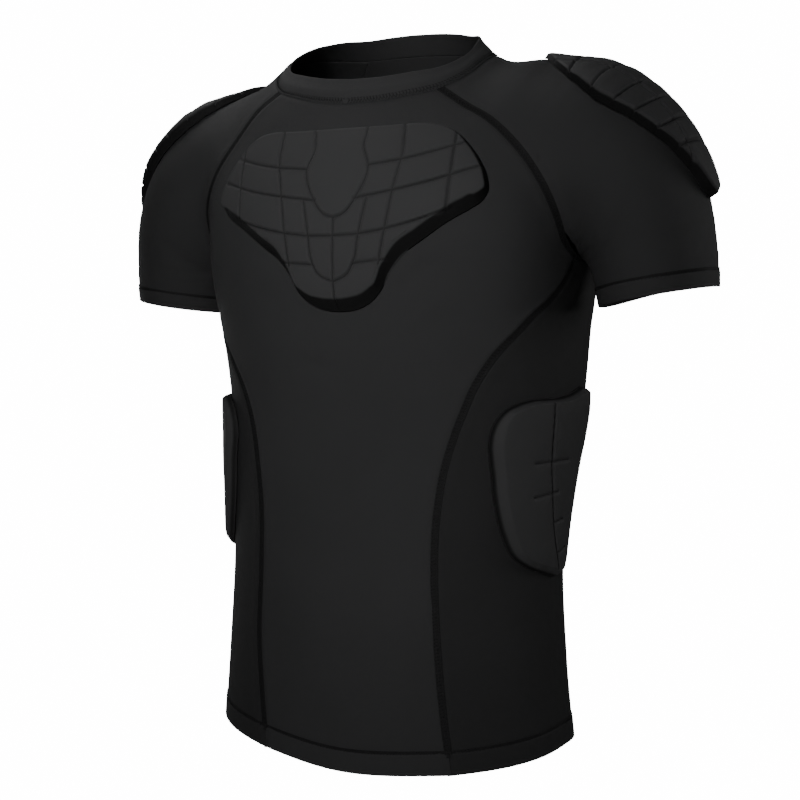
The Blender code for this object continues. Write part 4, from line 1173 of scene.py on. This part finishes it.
def bars(starts, ends, ways):
    """Small closed bars from starts to ends, standing on the surface whose outward ways are given:
    the bar's own three sizes along the thread, across it and outwards."""
    along = ends - starts
    across = unit(np.cross(ways, along)) * BAR_WIDTH
    points = (starts + ends)[:, None] / 2 + BAR[None, :, :1] * along[:, None]
    points = points + BAR[None, :, 1:2] * across[:, None] + BAR[None, :, 2:] * BAR_HEIGHT * ways[:, None]
    numbers = BAR_FACES[None] + 8 * np.arange(len(starts))[:, None, None]
    return points.reshape(-1, 3), numbers.reshape(-1, 3)


def stitches(name, line, lift, owner, mirrored, width):
    """Two rows of needle stitches along a band, and a looper thread to and fro between them."""
    length = marks_of(line)[-1]
    count = int(length / THREAD_STEP)
    spots = at_marks(line, (np.arange(count) + 0.5) * length / count)
    rows = np.array([-1.0, 0.0, 1.0]) * ROW_SHARE * width
    points, ways = across_line(spots, rows, False)
    top = band_height(rows * SEAM_WIDTH / width, lift)[1]
    low = (top - LOOPER_SUNK)[None, :, None] * ways + points
    points = points + (top - NEEDLE_SUNK)[None, :, None] * ways
    along = unit(np.gradient(spots, axis=0)) * STITCH_SHARE * THREAD_STEP
    to, fro = low[:-1, 2] + LOOPER_END * along[:-1], low[1:, 0] - LOOPER_START * along[1:]
    starts = [points[:, 0] - along, points[:, 2] - along, low[:-1, 0], low[:-1, 2]]
    ends = [points[:, 0] + along, points[:, 2] + along, to, fro]
    up = [ways[:, 0], ways[:, 2], ways[:-1, 1], ways[:-1, 1]]
    made, faces = bars(np.concatenate(starts), np.concatenate(ends), np.concatenate(up))
    first = made[BAR_FACES[1]]
    facing = np.cross(first[1] - first[0], first[2] - first[0])
    turned = bool((facing * (first[1] - made[:8].mean(0))).sum() < 0)
    flat = np.zeros((len(made), 2))
    PARTS[owner].append(add_mesh(name, made, faces, flat, THREAD_FINISH, mirrored, turned))
    return count


# %% Sewing the seams
COLLAR_SEAM_LIFT = 0.0004


def sew(name, line, lift, owner, mirrored=False, closed=False, width=SEAM_WIDTH, finish=BAND_FINISH):
    """A band with its stitches along one line."""
    length = marks_of(line)[-1]
    fine = evenly(line, int(length / BAND_STEP) + 1)
    if closed:
        fine = fine[:-1]
    band("band_" + name, fine, lift, owner, mirrored, closed, width, finish)
    count = stitches("stitches_" + name, fine, lift, owner, mirrored, width)
    print(name, "is", round(1000 * length), "mm long, with", count, "stitches to a row")


def moved_along(grid, rise):
    """The line on a grid at a distance up from its bottom edge, column by column."""
    up = from_edges(grid)["bottom"]
    columns = [[np.interp(rise, up[:, k], values) for values in grid[:, k].T] for k in range(grid.shape[1])]
    return np.array(columns)


for side, lines, mirrored in (("left", LEFT, False), ("right", RIGHT, True)):
    for seam in ("side_front", "side_back", "raglan_front", "raglan_back", "underarm"):
        owner = "side_panel_" if seam.startswith("side") else "sleeve_"
        sew(seam + "_" + side, lines[seam], CLOTH, owner + side, mirrored)
    cuff = moved_along(GRIDS["sleeve_" + side], CUFF_WIDTH)
    cuff = settle(np.concatenate([cuff, cuff[:1]]))
    sew("cuff_" + side, cuff, CLOTH + HEM_EXTRA / 2, "sleeve_" + side, mirrored, True, HEM_BAND_WIDTH)
hem_panels = ("front_panel", "side_panel_left", "back_panel", "side_panel_right")
hem = [moved_along(GRIDS[name], HEM_WIDTH) for name in hem_panels]
hem[3] = mirror(hem[3])[::-1]
hem = settle(evenly(np.concatenate([*hem, hem[0][:1]]), 700))
sew("hem", hem, CLOTH + HEM_EXTRA / 2, "front_panel", False, True, HEM_BAND_WIDTH)
neck_seam = settle(evenly(np.concatenate([NECK_RING, NECK_RING[:1]]), 500))
sew("collar", neck_seam, CLOTH + COLLAR_SEAM_LIFT, "collar", False, True, COLLAR_BAND_WIDTH, COLLAR_FINISH)

for name, grid in GRIDS.items():
    declare_sheet(PIECES[name], grid)

# %% [markdown]
# The pads
#
# Each pad is foam under a cover of the same knit, with narrow grooves that let it bend. It is drawn
# flat on a chart of its own, as an outline and groove lines. Its height is a function of the place
# in the chart: it rises from the outline over a sloping wall and a rounded edge, and drops in the
# grooves. A pad's grid has rings that follow the outline, with a Coons patch inside them.

# %% The pads' tables
# The chest pad's middle lies a little to the wearer's left.
CHEST_MIDDLE = 0.0055
CHEST_OUTLINE = table(
    "s t",
    [
        (0.0, -0.088), (0.045, -0.088), (0.076, -0.0878), (0.09, -0.0905), (0.102, -0.097),
        (0.113, -0.108), (0.1225, -0.121), (0.129, -0.135), (0.1305, -0.147), (0.125, -0.1565),
        (0.118, -0.1615), (0.102, -0.171), (0.078, -0.1875), (0.06, -0.2), (0.05, -0.212), (0.041, -0.228),
        (0.026, -0.24), (0.01, -0.2445), (0.0, -0.245),
    ],
)
CHEST_GROOVES = [
    [(0.059, -0.09), (0.0605, -0.11), (0.055, -0.143), (0.048, -0.184), (0.044, -0.205)],
    [(0.1025, -0.1), (0.102, -0.13), (0.1002, -0.165)],
    [(0.031, -0.151), (0.025, -0.18), (0.02, -0.204), (0.0145, -0.2125), (0.0, -0.219)],
    [(0.0, -0.1655), (0.0, -0.242)],
    [(0.03, -0.1235), (0.065, -0.1195), (0.085, -0.1155), (0.115, -0.107)],
    [(0.019, -0.1505), (0.045, -0.147), (0.088, -0.139), (0.128, -0.127)],
    [(0.0, -0.181), (0.027, -0.18), (0.052, -0.1765), (0.092, -0.166), (0.105, -0.161)],
    [(0.02, -0.2043), (0.05, -0.2018)],
    [
        (0.0258, -0.09), (0.0243, -0.108), (0.0305, -0.124), (0.023, -0.146), (0.008, -0.1635),
        (0.0, -0.1655),
    ],
]

RIB_AXIS_X = 0.050
RIB_REACH = 0.115
RIB_MIDDLE = 0.0255
# Its half towards the front, and the half behind, whose upper corner stands higher
RIB_OUTLINE = table(
    "s t",
    [
        (0.0, -0.319), (0.016, -0.3192), (0.028, -0.3198), (0.04, -0.323), (0.05, -0.328), (0.057, -0.336),
        (0.0612, -0.348), (0.0615, -0.359), (0.0595, -0.37), (0.0568, -0.3835), (0.055, -0.397),
        (0.0525, -0.41), (0.0455, -0.434), (0.0345, -0.454), (0.026, -0.4605), (0.015, -0.466),
        (0.0, -0.471),
    ],
)
RIB_BACK_OUTLINE = table(
    "s t",
    [
        (0.0, -0.319), (0.02, -0.3165), (0.038, -0.3125), (0.05, -0.31), (0.0572, -0.313),
        (0.0603, -0.323), (0.06, -0.338), (0.057, -0.356), (0.053, -0.376), (0.0485, -0.4),
        (0.0445, -0.425), (0.041, -0.448), (0.037, -0.464), (0.03, -0.474), (0.02, -0.4765),
        (0.009, -0.4736), (0.0, -0.471),
    ],
)
# A spine from top to bottom, two grooves across it and two short ones that lie behind it
RIB_GROOVES = [
    [(0.0077, -0.322), (0.0039, -0.372), (-0.0003, -0.399), (-0.005, -0.428), (-0.016, -0.468)],
    [(0.0206, -0.3734), (-0.0185, -0.372)],
    [(0.0193, -0.403), (-0.0074, -0.399)],
    [(-0.005, -0.4266), (-0.0183, -0.4238)],
    [(-0.0125, -0.4545), (-0.0265, -0.4497)],
]

SHOULDER_PIVOT = (0.195, -0.115)
SHOULDER_REACH = 0.090
SHOULDER_MIDDLE_Y = {"left": 0.008, "right": 0.015}
SHOULDER_OUTLINE = table(
    "s degrees",
    [
        (0.0, -28.0), (0.0115, -25.0), (0.027, -19.0), (0.0366, -11.5), (0.0453, 7.0), (0.048, 22.0),
        (0.048, 38.0), (0.0445, 62.5), (0.0395, 78.0), (0.0333, 87.0), (0.0265, 95.5), (0.0177, 103.0),
        (0.009, 108.5), (0.0, 111.0),
    ],
)
# Where the grooves across it lie at its edges and at its middle, how far out the two along it lie
# and through which degrees they run, and how far to each side those across it run
SHOULDER_CELLS = table(
    "edge middle",
    [(-9.5, -7.0), (13.5, 18.0), (41.5, 38.0), (63.0, 54.0), (84.5, 70.0), (99.0, 85.0)],
)
SHOULDER_COLUMN = 0.022
COLUMN_DEGREES = (-24.0, 40.0, 109.0)
GROOVE_END = 0.06
# How thick it is from its end at the neck outwards
SHOULDER_THIN = table("degrees thick", [(-28.0, 0.0050), (-12.0, 0.0066), (5.0, 0.0088), (22.0, 0.0102)])

SHOULDER_ARC = math.radians(1.0) * SHOULDER_REACH

# For each pad: how thick it is up its chart, how far its wall slopes where it faces forwards, back,
# up and down (for the chest: left, right, up and down), how the wall climbs, up to which share of
# the wall the cover gets painted shade, how wide the edge rounds, and how wide to each side and how
# deep the grooves are
CHEST_FORM = {
    "thick": ([0.0], [0.009]),
    "slopes": (0.0034, 0.0042, 0.002, 0.0115),
    "wall": ([0.0, 1.0], [0.0, 0.93]),
    "dark": 1.0,
    "round": 0.0014,
    "groove": (0.0018, 0.0014),
}
RIB_FORM = {
    "thick": ([0.0], [0.0085]),
    "slopes": (0.011, 0.0055, 0.003, 0.0058),
    "wall": ([0.0, 0.33, 1.0], [0.0, 0.58, 0.97]),
    "dark": 0.36,
    "round": 0.0012,
    "groove": (0.0018, 0.002),
}
SHOULDER_FORM = {
    "thick": (SHOULDER_ARC * SHOULDER_THIN["degrees"], SHOULDER_THIN["thick"]),
    "slopes": (0.002, 0.002, 0.002, 0.002),
    "wall": ([0.0, 1.0], [0.0, 0.84]),
    "dark": 1.0,
    "round": 0.0020,
    "groove": (0.0019, 0.0034),
}
# How high a cell is crowned, and how far from a groove and from the outline the crown is full
CELL_CROWN, CROWN_AWAY, CROWN_INSIDE = 0.0006, 0.005, 0.016
# How far from a groove's middle the cover gets painted shade, how soon that painted shade ends past
# the wall, and over which share of the wall it fades
GROOVE_SHADE, DARK_PAST, DARK_FADE = 0.0013, 0.0004, 0.12


# %% Flat outlines and lines
def column_pairs(outline):
    """An outline table's s and t columns side by side."""
    return np.stack([outline["s"], outline["t"]], -1)


def four_sides(half, other, upper, lower, columns, rows):
    """A closed loop against the clock from its lower left corner: even steps along the bottom, up
    the right side, back along the top and down the left side. One half outline lies to the right
    and the mirror image of the other to the left. The corners are at two shares of each half."""
    right, left = smooth_line(half, 800), smooth_line(other, 800) * (-1.0, 1.0)
    first, last = int(800 * upper), int(800 * lower)
    stretches = (
        (joined(left[last:], right[last:][::-1]), columns),
        (right[first : last + 1][::-1], rows),
        (joined(right[: first + 1][::-1], left[: first + 1]), columns),
        (left[first : last + 1], rows),
    )
    return np.concatenate([evenly(line, count + 1)[:-1] for line, count in stretches])


def mirrored_grooves(grooves):
    """Grooves of a half pad with their mirror images, save those that lie on the middle."""
    other = [[(-s, t) for s, t in groove] for groove in grooves if any(s > 0 for s, _ in groove)]
    return grooves + other


def shoulder_grooves():
    """The shoulder pad's grooves: one across it for each row of cells, and two along it."""
    grooves = []
    for edge, middle in zip(SHOULDER_CELLS["edge"], SHOULDER_CELLS["middle"]):
        ends = edge * SHOULDER_ARC
        grooves.append([(-GROOVE_END, ends), (0.0, middle * SHOULDER_ARC), (GROOVE_END, ends)])
    for side in (-1, 1):
        grooves.append([(side * SHOULDER_COLUMN, degrees * SHOULDER_ARC) for degrees in COLUMN_DEGREES])
    return grooves


def distance_to(points, line):
    """How far points are from a flat line: the least distance to any of its steps. The points are
    taken in lots, so that the table of distances stays small."""
    starts, ways = line[:-1], np.diff(line, axis=0)
    size = np.maximum((ways * ways).sum(-1), 1e-12)
    found = []
    for lot in np.array_split(points, max(1, len(points) // 8000)):
        share = np.clip(((lot[:, None] - starts) * ways).sum(-1) / size, 0.0, 1.0)
        near = starts + share[..., None] * ways
        found.append(np.linalg.norm(lot[:, None] - near, axis=-1).min(-1))
    return np.concatenate(found)


def inset(loop, distance):
    """A closed loop moved inwards, across itself at each point."""
    way = unit(np.roll(loop, -1, axis=0) - np.roll(loop, 1, axis=0))
    area = np.cross(loop, np.roll(loop, -1, axis=0)).sum()
    return loop + np.sign(area) * np.stack([-way[:, 1], way[:, 0]], -1) * np.reshape(distance, (-1, 1))


# %% Charts of the pads
def on_chest(s, t):
    """The chest's chart: across and up, seen straight from the front."""
    base = np.stack([CHEST_MIDDLE + s, np.zeros_like(s), t], -1)
    return reach(base, np.zeros_like(base) + (0.0, -1.0, 0.0))


def on_rib(s, t):
    """The ribs' chart: round the side from the pad's middle towards the front, and up."""
    turn = (RIB_MIDDLE + s) / RIB_REACH
    base = np.stack([np.full_like(s, RIB_AXIS_X), np.zeros_like(s), t], -1)
    return reach(base, np.stack([np.cos(turn), -np.sin(turn), np.zeros_like(s)], -1))


def on_shoulder(s, t, side):
    """The shoulder's chart: forwards from the middle, and from the neck side over and down."""
    turn = t / SHOULDER_REACH
    middle = np.broadcast_arrays(SHOULDER_PIVOT[0], SHOULDER_MIDDLE_Y[side] - s, SHOULDER_PIVOT[1])
    return reach(np.stack(middle, -1), np.stack([np.sin(turn), np.zeros_like(s), np.cos(turn)], -1))


def charted(chart_of_pad, outline, step=0.005):
    """A chart read once on an even lattice round an outline. The function that it returns gives
    points and outward ways anywhere between: a cubic through the four nearest rows both ways."""
    low, high = outline.min(0) - 2 * step, outline.max(0) + 2 * step
    s, t = (np.arange(low[axis], high[axis] + step, step) for axis in (0, 1))
    points = chart_of_pad(*np.meshgrid(s, t, indexing="ij"))
    both = np.concatenate([points, outward(points)], -1)

    def read(flat):
        spot = (flat - low) / step
        first = np.clip(spot.astype(int), 1, np.array(both.shape[:2]) - 3)
        share = spot - first
        weights = np.stack(
            [
                -share * (1 - share) ** 2 / 2,
                1 - 2.5 * share**2 + 1.5 * share**3,
                share * (1 + 4 * share - 3 * share**2) / 2,
                share**2 * (share - 1) / 2,
            ]
        )
        total = 0.0
        for i in range(4):
            for j in range(4):
                weight = weights[i][:, 0] * weights[j][:, 1]
                total = total + weight[:, None] * both[first[:, 0] + i - 1, first[:, 1] + j - 1]
        return total[:, :3], unit(total[:, 3:])

    return read


# %% The pad's grid
# Rings inwards from the outline: shares of the wall, then distances past its top. The rings past the
# wall are smoothed a few times.
WALL_RINGS, RING_ROUNDS = 8, 4
WALL_SHARES = np.array([0.0, 0.10, 0.22, 0.40, 0.60, 0.80, 0.93, 1.0, 1.0, 1.0, 1.0, 1.0, 1.0])
PAST_WALL = np.array([0.0, 0.0, 0.0, 0.0, 0.0, 0.0, 0.0, 0.0, 0.0003, 0.0007, 0.0012, 0.0018, 0.0026])


def coons(loop, columns, rows, rounds=300):
    """The inside of a closed loop as a grid. Opposite sides of the loop are blended both ways, less
    the corners. Then each inner point is moved again and again to the mean of its four neighbours,
    which opens the cells at the corners, where the loop runs straight on."""
    bottom, right = loop[: columns + 1], loop[columns : columns + rows + 1]
    top = loop[columns + rows : 2 * columns + rows + 1][::-1]
    left = np.concatenate([loop[2 * columns + rows :], loop[:1]])[::-1]
    u, v = np.linspace(0, 1, columns + 1)[None, :, None], np.linspace(0, 1, rows + 1)[:, None, None]
    ruled = (1 - v) * bottom[None] + v * top[None] + (1 - u) * left[:, None] + u * right[:, None]
    corners = (1 - v) * ((1 - u) * bottom[0] + u * bottom[-1]) + v * ((1 - u) * top[0] + u * top[-1])
    grid = ruled - corners
    for _ in range(rounds):
        grid[1:-1, 1:-1] = (grid[:-2, 1:-1] + grid[2:, 1:-1] + grid[1:-1, :-2] + grid[1:-1, 2:]) / 4
    return grid


def loop_numbers(first, columns, rows):
    """The point numbers of a grid's rim, in the order in which coons takes its loop."""
    number = first + np.arange((rows + 1) * (columns + 1)).reshape(rows + 1, columns + 1)
    return np.concatenate([number[0, :-1], number[:-1, -1], number[-1, :0:-1], number[:0:-1, 0]]), number


def wall_width(loop, form):
    """How far the pad's wall slopes at each point of its outline: the four given widths, weighted
    by the squares of how much the outline faces each way."""
    facing = unit(loop - inset(loop, 1.0))
    ways = np.stack([facing[:, 0], -facing[:, 0], facing[:, 1], -facing[:, 1]])
    return np.array(form["slopes"]) @ np.maximum(ways, 0.0) ** 2


def relief(flat, share, loop, groove, form):
    """The height at each place: the pad's thickness times its share, less a soft V in each groove,
    plus a slight crown in each cell. Groove says how far the place is from the nearest groove."""
    half, depth = form["groove"]
    edge = distance_to(flat, np.concatenate([loop[::6], loop[:1]]))
    cut = depth * (1 - smoothstep(groove / half)) * share**2
    crown = CELL_CROWN * (1 - np.exp(-groove / CROWN_AWAY)) * smoothstep(edge / CROWN_INSIDE)
    return np.interp(flat[:, 1], *form["thick"]) * share - cut + crown


def shade_of(groove, form, count):
    """How much painted shade the cover gets at each place. On the wall it is 1 up to about the form's
    share, and past the wall's top it fades as exp(-d/0.4mm). In a groove it goes from 1 in the middle to 0."""
    past = np.exp(-PAST_WALL / DARK_PAST)
    dark = past * (1 - smoothstep((WALL_SHARES - form["dark"]) / DARK_FADE + 0.5))
    wall_painted_shade = np.zeros(len(groove))
    wall_painted_shade[: (len(dark) - 1) * count] = np.repeat(dark[:-1], count)
    return np.stack([wall_painted_shade, 1 - smoothstep(groove / GROOVE_SHADE)], -1)


def pad(name, chart_of_pad, loop, grooves, form, columns, rows, mirrored=False):
    """A closed foam pad that lies on the cloth and replaces its plain solid."""
    count, width = len(loop), wall_width(loop, form)
    rings = np.stack([inset(loop, share * width + past) for share, past in zip(WALL_SHARES, PAST_WALL)])
    for _ in range(RING_ROUNDS):
        past = rings[WALL_RINGS:]
        rings[WALL_RINGS:] = (past + np.roll(past, 1, axis=1) + np.roll(past, -1, axis=1)) / 3
    inside, under = coons(rings[-1], columns, rows), coons(loop, columns, rows, 100)
    flat = np.concatenate([rings[:-1].reshape(-1, 2), inside.reshape(-1, 2), under.reshape(-1, 2)])
    tops = len(flat) - under.size // 2
    climb_to = np.interp(WALL_SHARES, *form["wall"])
    top_share = form["wall"][1][-1]
    climb_to += (1 - top_share) * np.sin(np.minimum(PAST_WALL / form["round"], 1.0) * math.pi / 2)
    share = np.concatenate([np.repeat(climb_to[:-1], count), np.ones(inside.size // 2)])
    groove = np.min([distance_to(flat[:tops], smooth_line(line, 24)) for line in grooves], axis=0)
    height, shade = np.zeros(len(flat)), np.zeros((len(flat), 2))
    height[:tops] = relief(flat[:tops], share, loop, groove, form)
    # Painted shade on the wall and in the grooves
    shade[:tops] = shade_of(groove, form, count)
    surface, ways = charted(chart_of_pad, loop)(flat)
    points = surface + (CLOTH + PAD_LIFT + height)[:, None] * ways
    inner_rim, top_number = loop_numbers((len(rings) - 1) * count, columns, rows)
    under_rim, under_number = loop_numbers(tops, columns, rows)
    ring_number = np.arange((len(rings) - 1) * count).reshape(-1, count)
    number = np.concatenate([under_rim[None], ring_number[1:], inner_rim[None]])
    number = np.concatenate([number, number[:, :1]], 1)
    faces = [halved(cells(top_number)), halved(cells(number)), coarse_side(under_number, 4)[:, ::-1]]
    faces = np.concatenate(faces)
    turned = faces_in(points, faces, ways)
    points, faces, flat, shade = used_only(points, faces, flat, shade)
    piece = add_mesh(name, points, faces, flat, PAD_KNIT_AND_SHADE, mirrored, turned)
    # The second map, form, carries the painted shade of the pad's wall and grooves.
    layer = piece.data.uv_layers.new(name="form")
    layer.data.foreach_set("uv", shade[faces_of(piece.data)].astype(np.float32).ravel())
    print(name, "has", len(faces), "triangles and is up to", round(1000 * height.max(), 1), "mm thick")
    return piece


# %% The five pads
# How many cells each pad's grid has across and up, and at which shares of a half outline its
# corners lie
CHEST_CELLS, RIB_CELLS, SHOULDER_GRID = (230, 150), (100, 120), (80, 160)
CHEST_CORNERS, RIB_CORNERS, SHOULDER_CORNERS = (0.43, 0.78), (0.22, 0.83), (0.16, 0.84)
half = column_pairs(CHEST_OUTLINE)
chest_loop = four_sides(half, half, *CHEST_CORNERS, *CHEST_CELLS)
front, back = column_pairs(RIB_OUTLINE), column_pairs(RIB_BACK_OUTLINE)
rib_loop = four_sides(front, back, *RIB_CORNERS, *RIB_CELLS)
half = np.stack([SHOULDER_OUTLINE["s"], SHOULDER_ARC * SHOULDER_OUTLINE["degrees"]], -1)
shoulder_loop = four_sides(half[::-1], half[::-1], *SHOULDER_CORNERS, *SHOULDER_GRID)
chest_lines = mirrored_grooves(CHEST_GROOVES)
chest = pad("foam_chest_pad", on_chest, chest_loop, chest_lines, CHEST_FORM, *CHEST_CELLS)
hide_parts("chest_pad")
for side in ("left", "right"):
    mirrored = side == "right"
    rib = pad("foam_rib_pad_" + side, on_rib, rib_loop, RIB_GROOVES, RIB_FORM, *RIB_CELLS, mirrored)
    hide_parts("rib_pad_" + side)
    lines, grid = shoulder_grooves(), (*SHOULDER_GRID, mirrored)
    over = partial(on_shoulder, side=side)
    shoulder = pad("foam_shoulder_pad_" + side, over, shoulder_loop, lines, SHOULDER_FORM, *grid)
    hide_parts("shoulder_pad_" + side)

# %% [markdown]
# Floor, light and camera
#
# The shirt is shown as it is worn, at the height of a standing person's shoulders, over a plain
# pale floor. The light is four large soft lamps, in front, above and to both sides behind, and two
# soft spots in front. The camera looks from the wearer's front left. To the camera, floor and
# surroundings are an even white, as in a product picture.

# %% The floor
FLOOR_HEIGHT = -1.45
FLOOR_RADIUS = 40.0
FLOOR_GREY, FLOOR_ROUGHNESS = 0.75, 0.9
# How bright the floor and the surroundings look to the camera
BACKDROP = 15.5
bpy.ops.mesh.primitive_circle_add(
    vertices=96, radius=FLOOR_RADIUS, fill_type="NGON", location=(0, 0, FLOOR_HEIGHT)
)
floor = bpy.context.object
floor.name = "floor"
floor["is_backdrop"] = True
pale = bpy.data.materials.new("pale_floor")
pale.use_nodes = True
pale_nodes, pale_link = pale.node_tree.nodes, pale.node_tree.links.new
pale_shader = pale_nodes["Principled BSDF"]
pale_shader.inputs["Base Color"].default_value = (FLOOR_GREY, FLOOR_GREY, FLOOR_GREY, 1.0)
pale_shader.inputs["Roughness"].default_value = FLOOR_ROUGHNESS
glow = put(pale_nodes, "ShaderNodeEmission", Strength=BACKDROP)
seen = put(pale_nodes, "ShaderNodeLightPath")
mix = put(pale_nodes, "ShaderNodeMixShader")
pale_link(seen.outputs["Is Camera Ray"], mix.inputs["Fac"])
pale_link(pale_shader.outputs["BSDF"], mix.inputs[1])
pale_link(glow.outputs["Emission"], mix.inputs[2])
pale_link(mix.outputs["Shader"], pale_nodes["Material Output"].inputs["Surface"])
floor.data.materials.append(pale)

# %% The camera
CAMERA_AZIMUTH = 29.0
CAMERA_HEIGHT_ANGLE = 2.3
CAMERA_DISTANCE = 1.27
CAMERA_TARGET = np.array([0.0, 0.01, -0.325])
FOCAL_PIXELS = 1349.0
PHOTO_SIDE = 800.0
SENSOR_WIDTH = 36.0
azimuth, elevation = math.radians(CAMERA_AZIMUTH), math.radians(CAMERA_HEIGHT_ANGLE)
level = math.cos(elevation)
TO_CAMERA = np.array([math.sin(azimuth) * level, -math.cos(azimuth) * level, math.sin(elevation)])
camera_data = bpy.data.cameras.new("camera")
camera_data.sensor_width = SENSOR_WIDTH
camera_data.lens = camera_data.sensor_width * FOCAL_PIXELS / PHOTO_SIDE
camera = bpy.data.objects.new("camera", camera_data)
bpy.context.scene.collection.objects.link(camera)
bpy.context.scene.camera = camera


def aim(item, place, target):
    """Puts a camera or a light somewhere and turns its own -Z towards a target."""
    from_target = np.subtract(place, target)
    item.location = place
    item.rotation_mode = "XYZ"
    flat = math.hypot(from_target[0], from_target[1])
    item.rotation_euler = (math.atan2(flat, from_target[2]), 0.0, math.atan2(from_target[0], -from_target[1]))


aim(camera, CAMERA_TARGET + CAMERA_DISTANCE * TO_CAMERA, CAMERA_TARGET)

# %% The lights
# Where each large lamp stands, how wide it is, and its power
LIGHTS = (
    ("key", (0.62, -2.02, 0.38), 1.1, 14.5),
    ("right_rear", (1.50, 1.00, 0.15), 0.8, 9.0),
    ("left_rear", (-1.60, 0.60, -0.40), 0.8, 2.0),
    ("top", (-1.10, 0.30, 1.50), 0.9, 16.0),
)
LIGHTS_AIM = (0.0, 0.0, -0.3)
# Two soft spots keep the light on the chest and the belly: where each stands and aims, how wide
# its cone is in degrees, and its power
SPOTS = (
    ("chest_spot", (0.20, -2.30, 0.40), (0.00, -0.10, -0.07), 15.0, 235.0),
    ("belly_spot", (0.40, -2.30, 0.00), (0.02, -0.10, -0.48), 19.0, 130.0),
)
SPOT_SOFT_SIZE = 0.25
AMBIENT = 0.03


def add_lamp(name, kind, place, target, **values):
    """A lamp that stands at a place and shines at a target, with its properties set."""
    lamp = bpy.data.lights.new(name, kind)
    for key, value in values.items():
        setattr(lamp, key, value)
    light = bpy.data.objects.new(name, lamp)
    bpy.context.scene.collection.objects.link(light)
    aim(light, place, target)


for name, place, size, power in LIGHTS:
    add_lamp(name, "AREA", place, LIGHTS_AIM, shape="DISK", size=size, energy=power)
for name, place, target, cone, power in SPOTS:
    wide = math.radians(cone)
    soft = {"spot_blend": 1.0, "shadow_soft_size": SPOT_SOFT_SIZE}
    add_lamp(name, "SPOT", place, target, spot_size=wide, energy=power, **soft)

world = bpy.data.worlds.new("studio")
bpy.context.scene.world = world
world.use_nodes = True
world_nodes, world_link = world.node_tree.nodes, world.node_tree.links.new
background = world_nodes["Background"]
seen = world_nodes.new("ShaderNodeLightPath")
strength = maths(world.node_tree, "MULTIPLY_ADD", seen.outputs["Is Camera Ray"], BACKDROP - AMBIENT, AMBIENT)
background.inputs["Color"].default_value = (1.0, 1.0, 1.0, 1.0)
world_link(strength, background.inputs["Strength"])

# %% Sizes for the record
low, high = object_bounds()
print("the visual model's size in mm:", [round(1000 * (b - a), 1) for a, b in zip(low, high)])
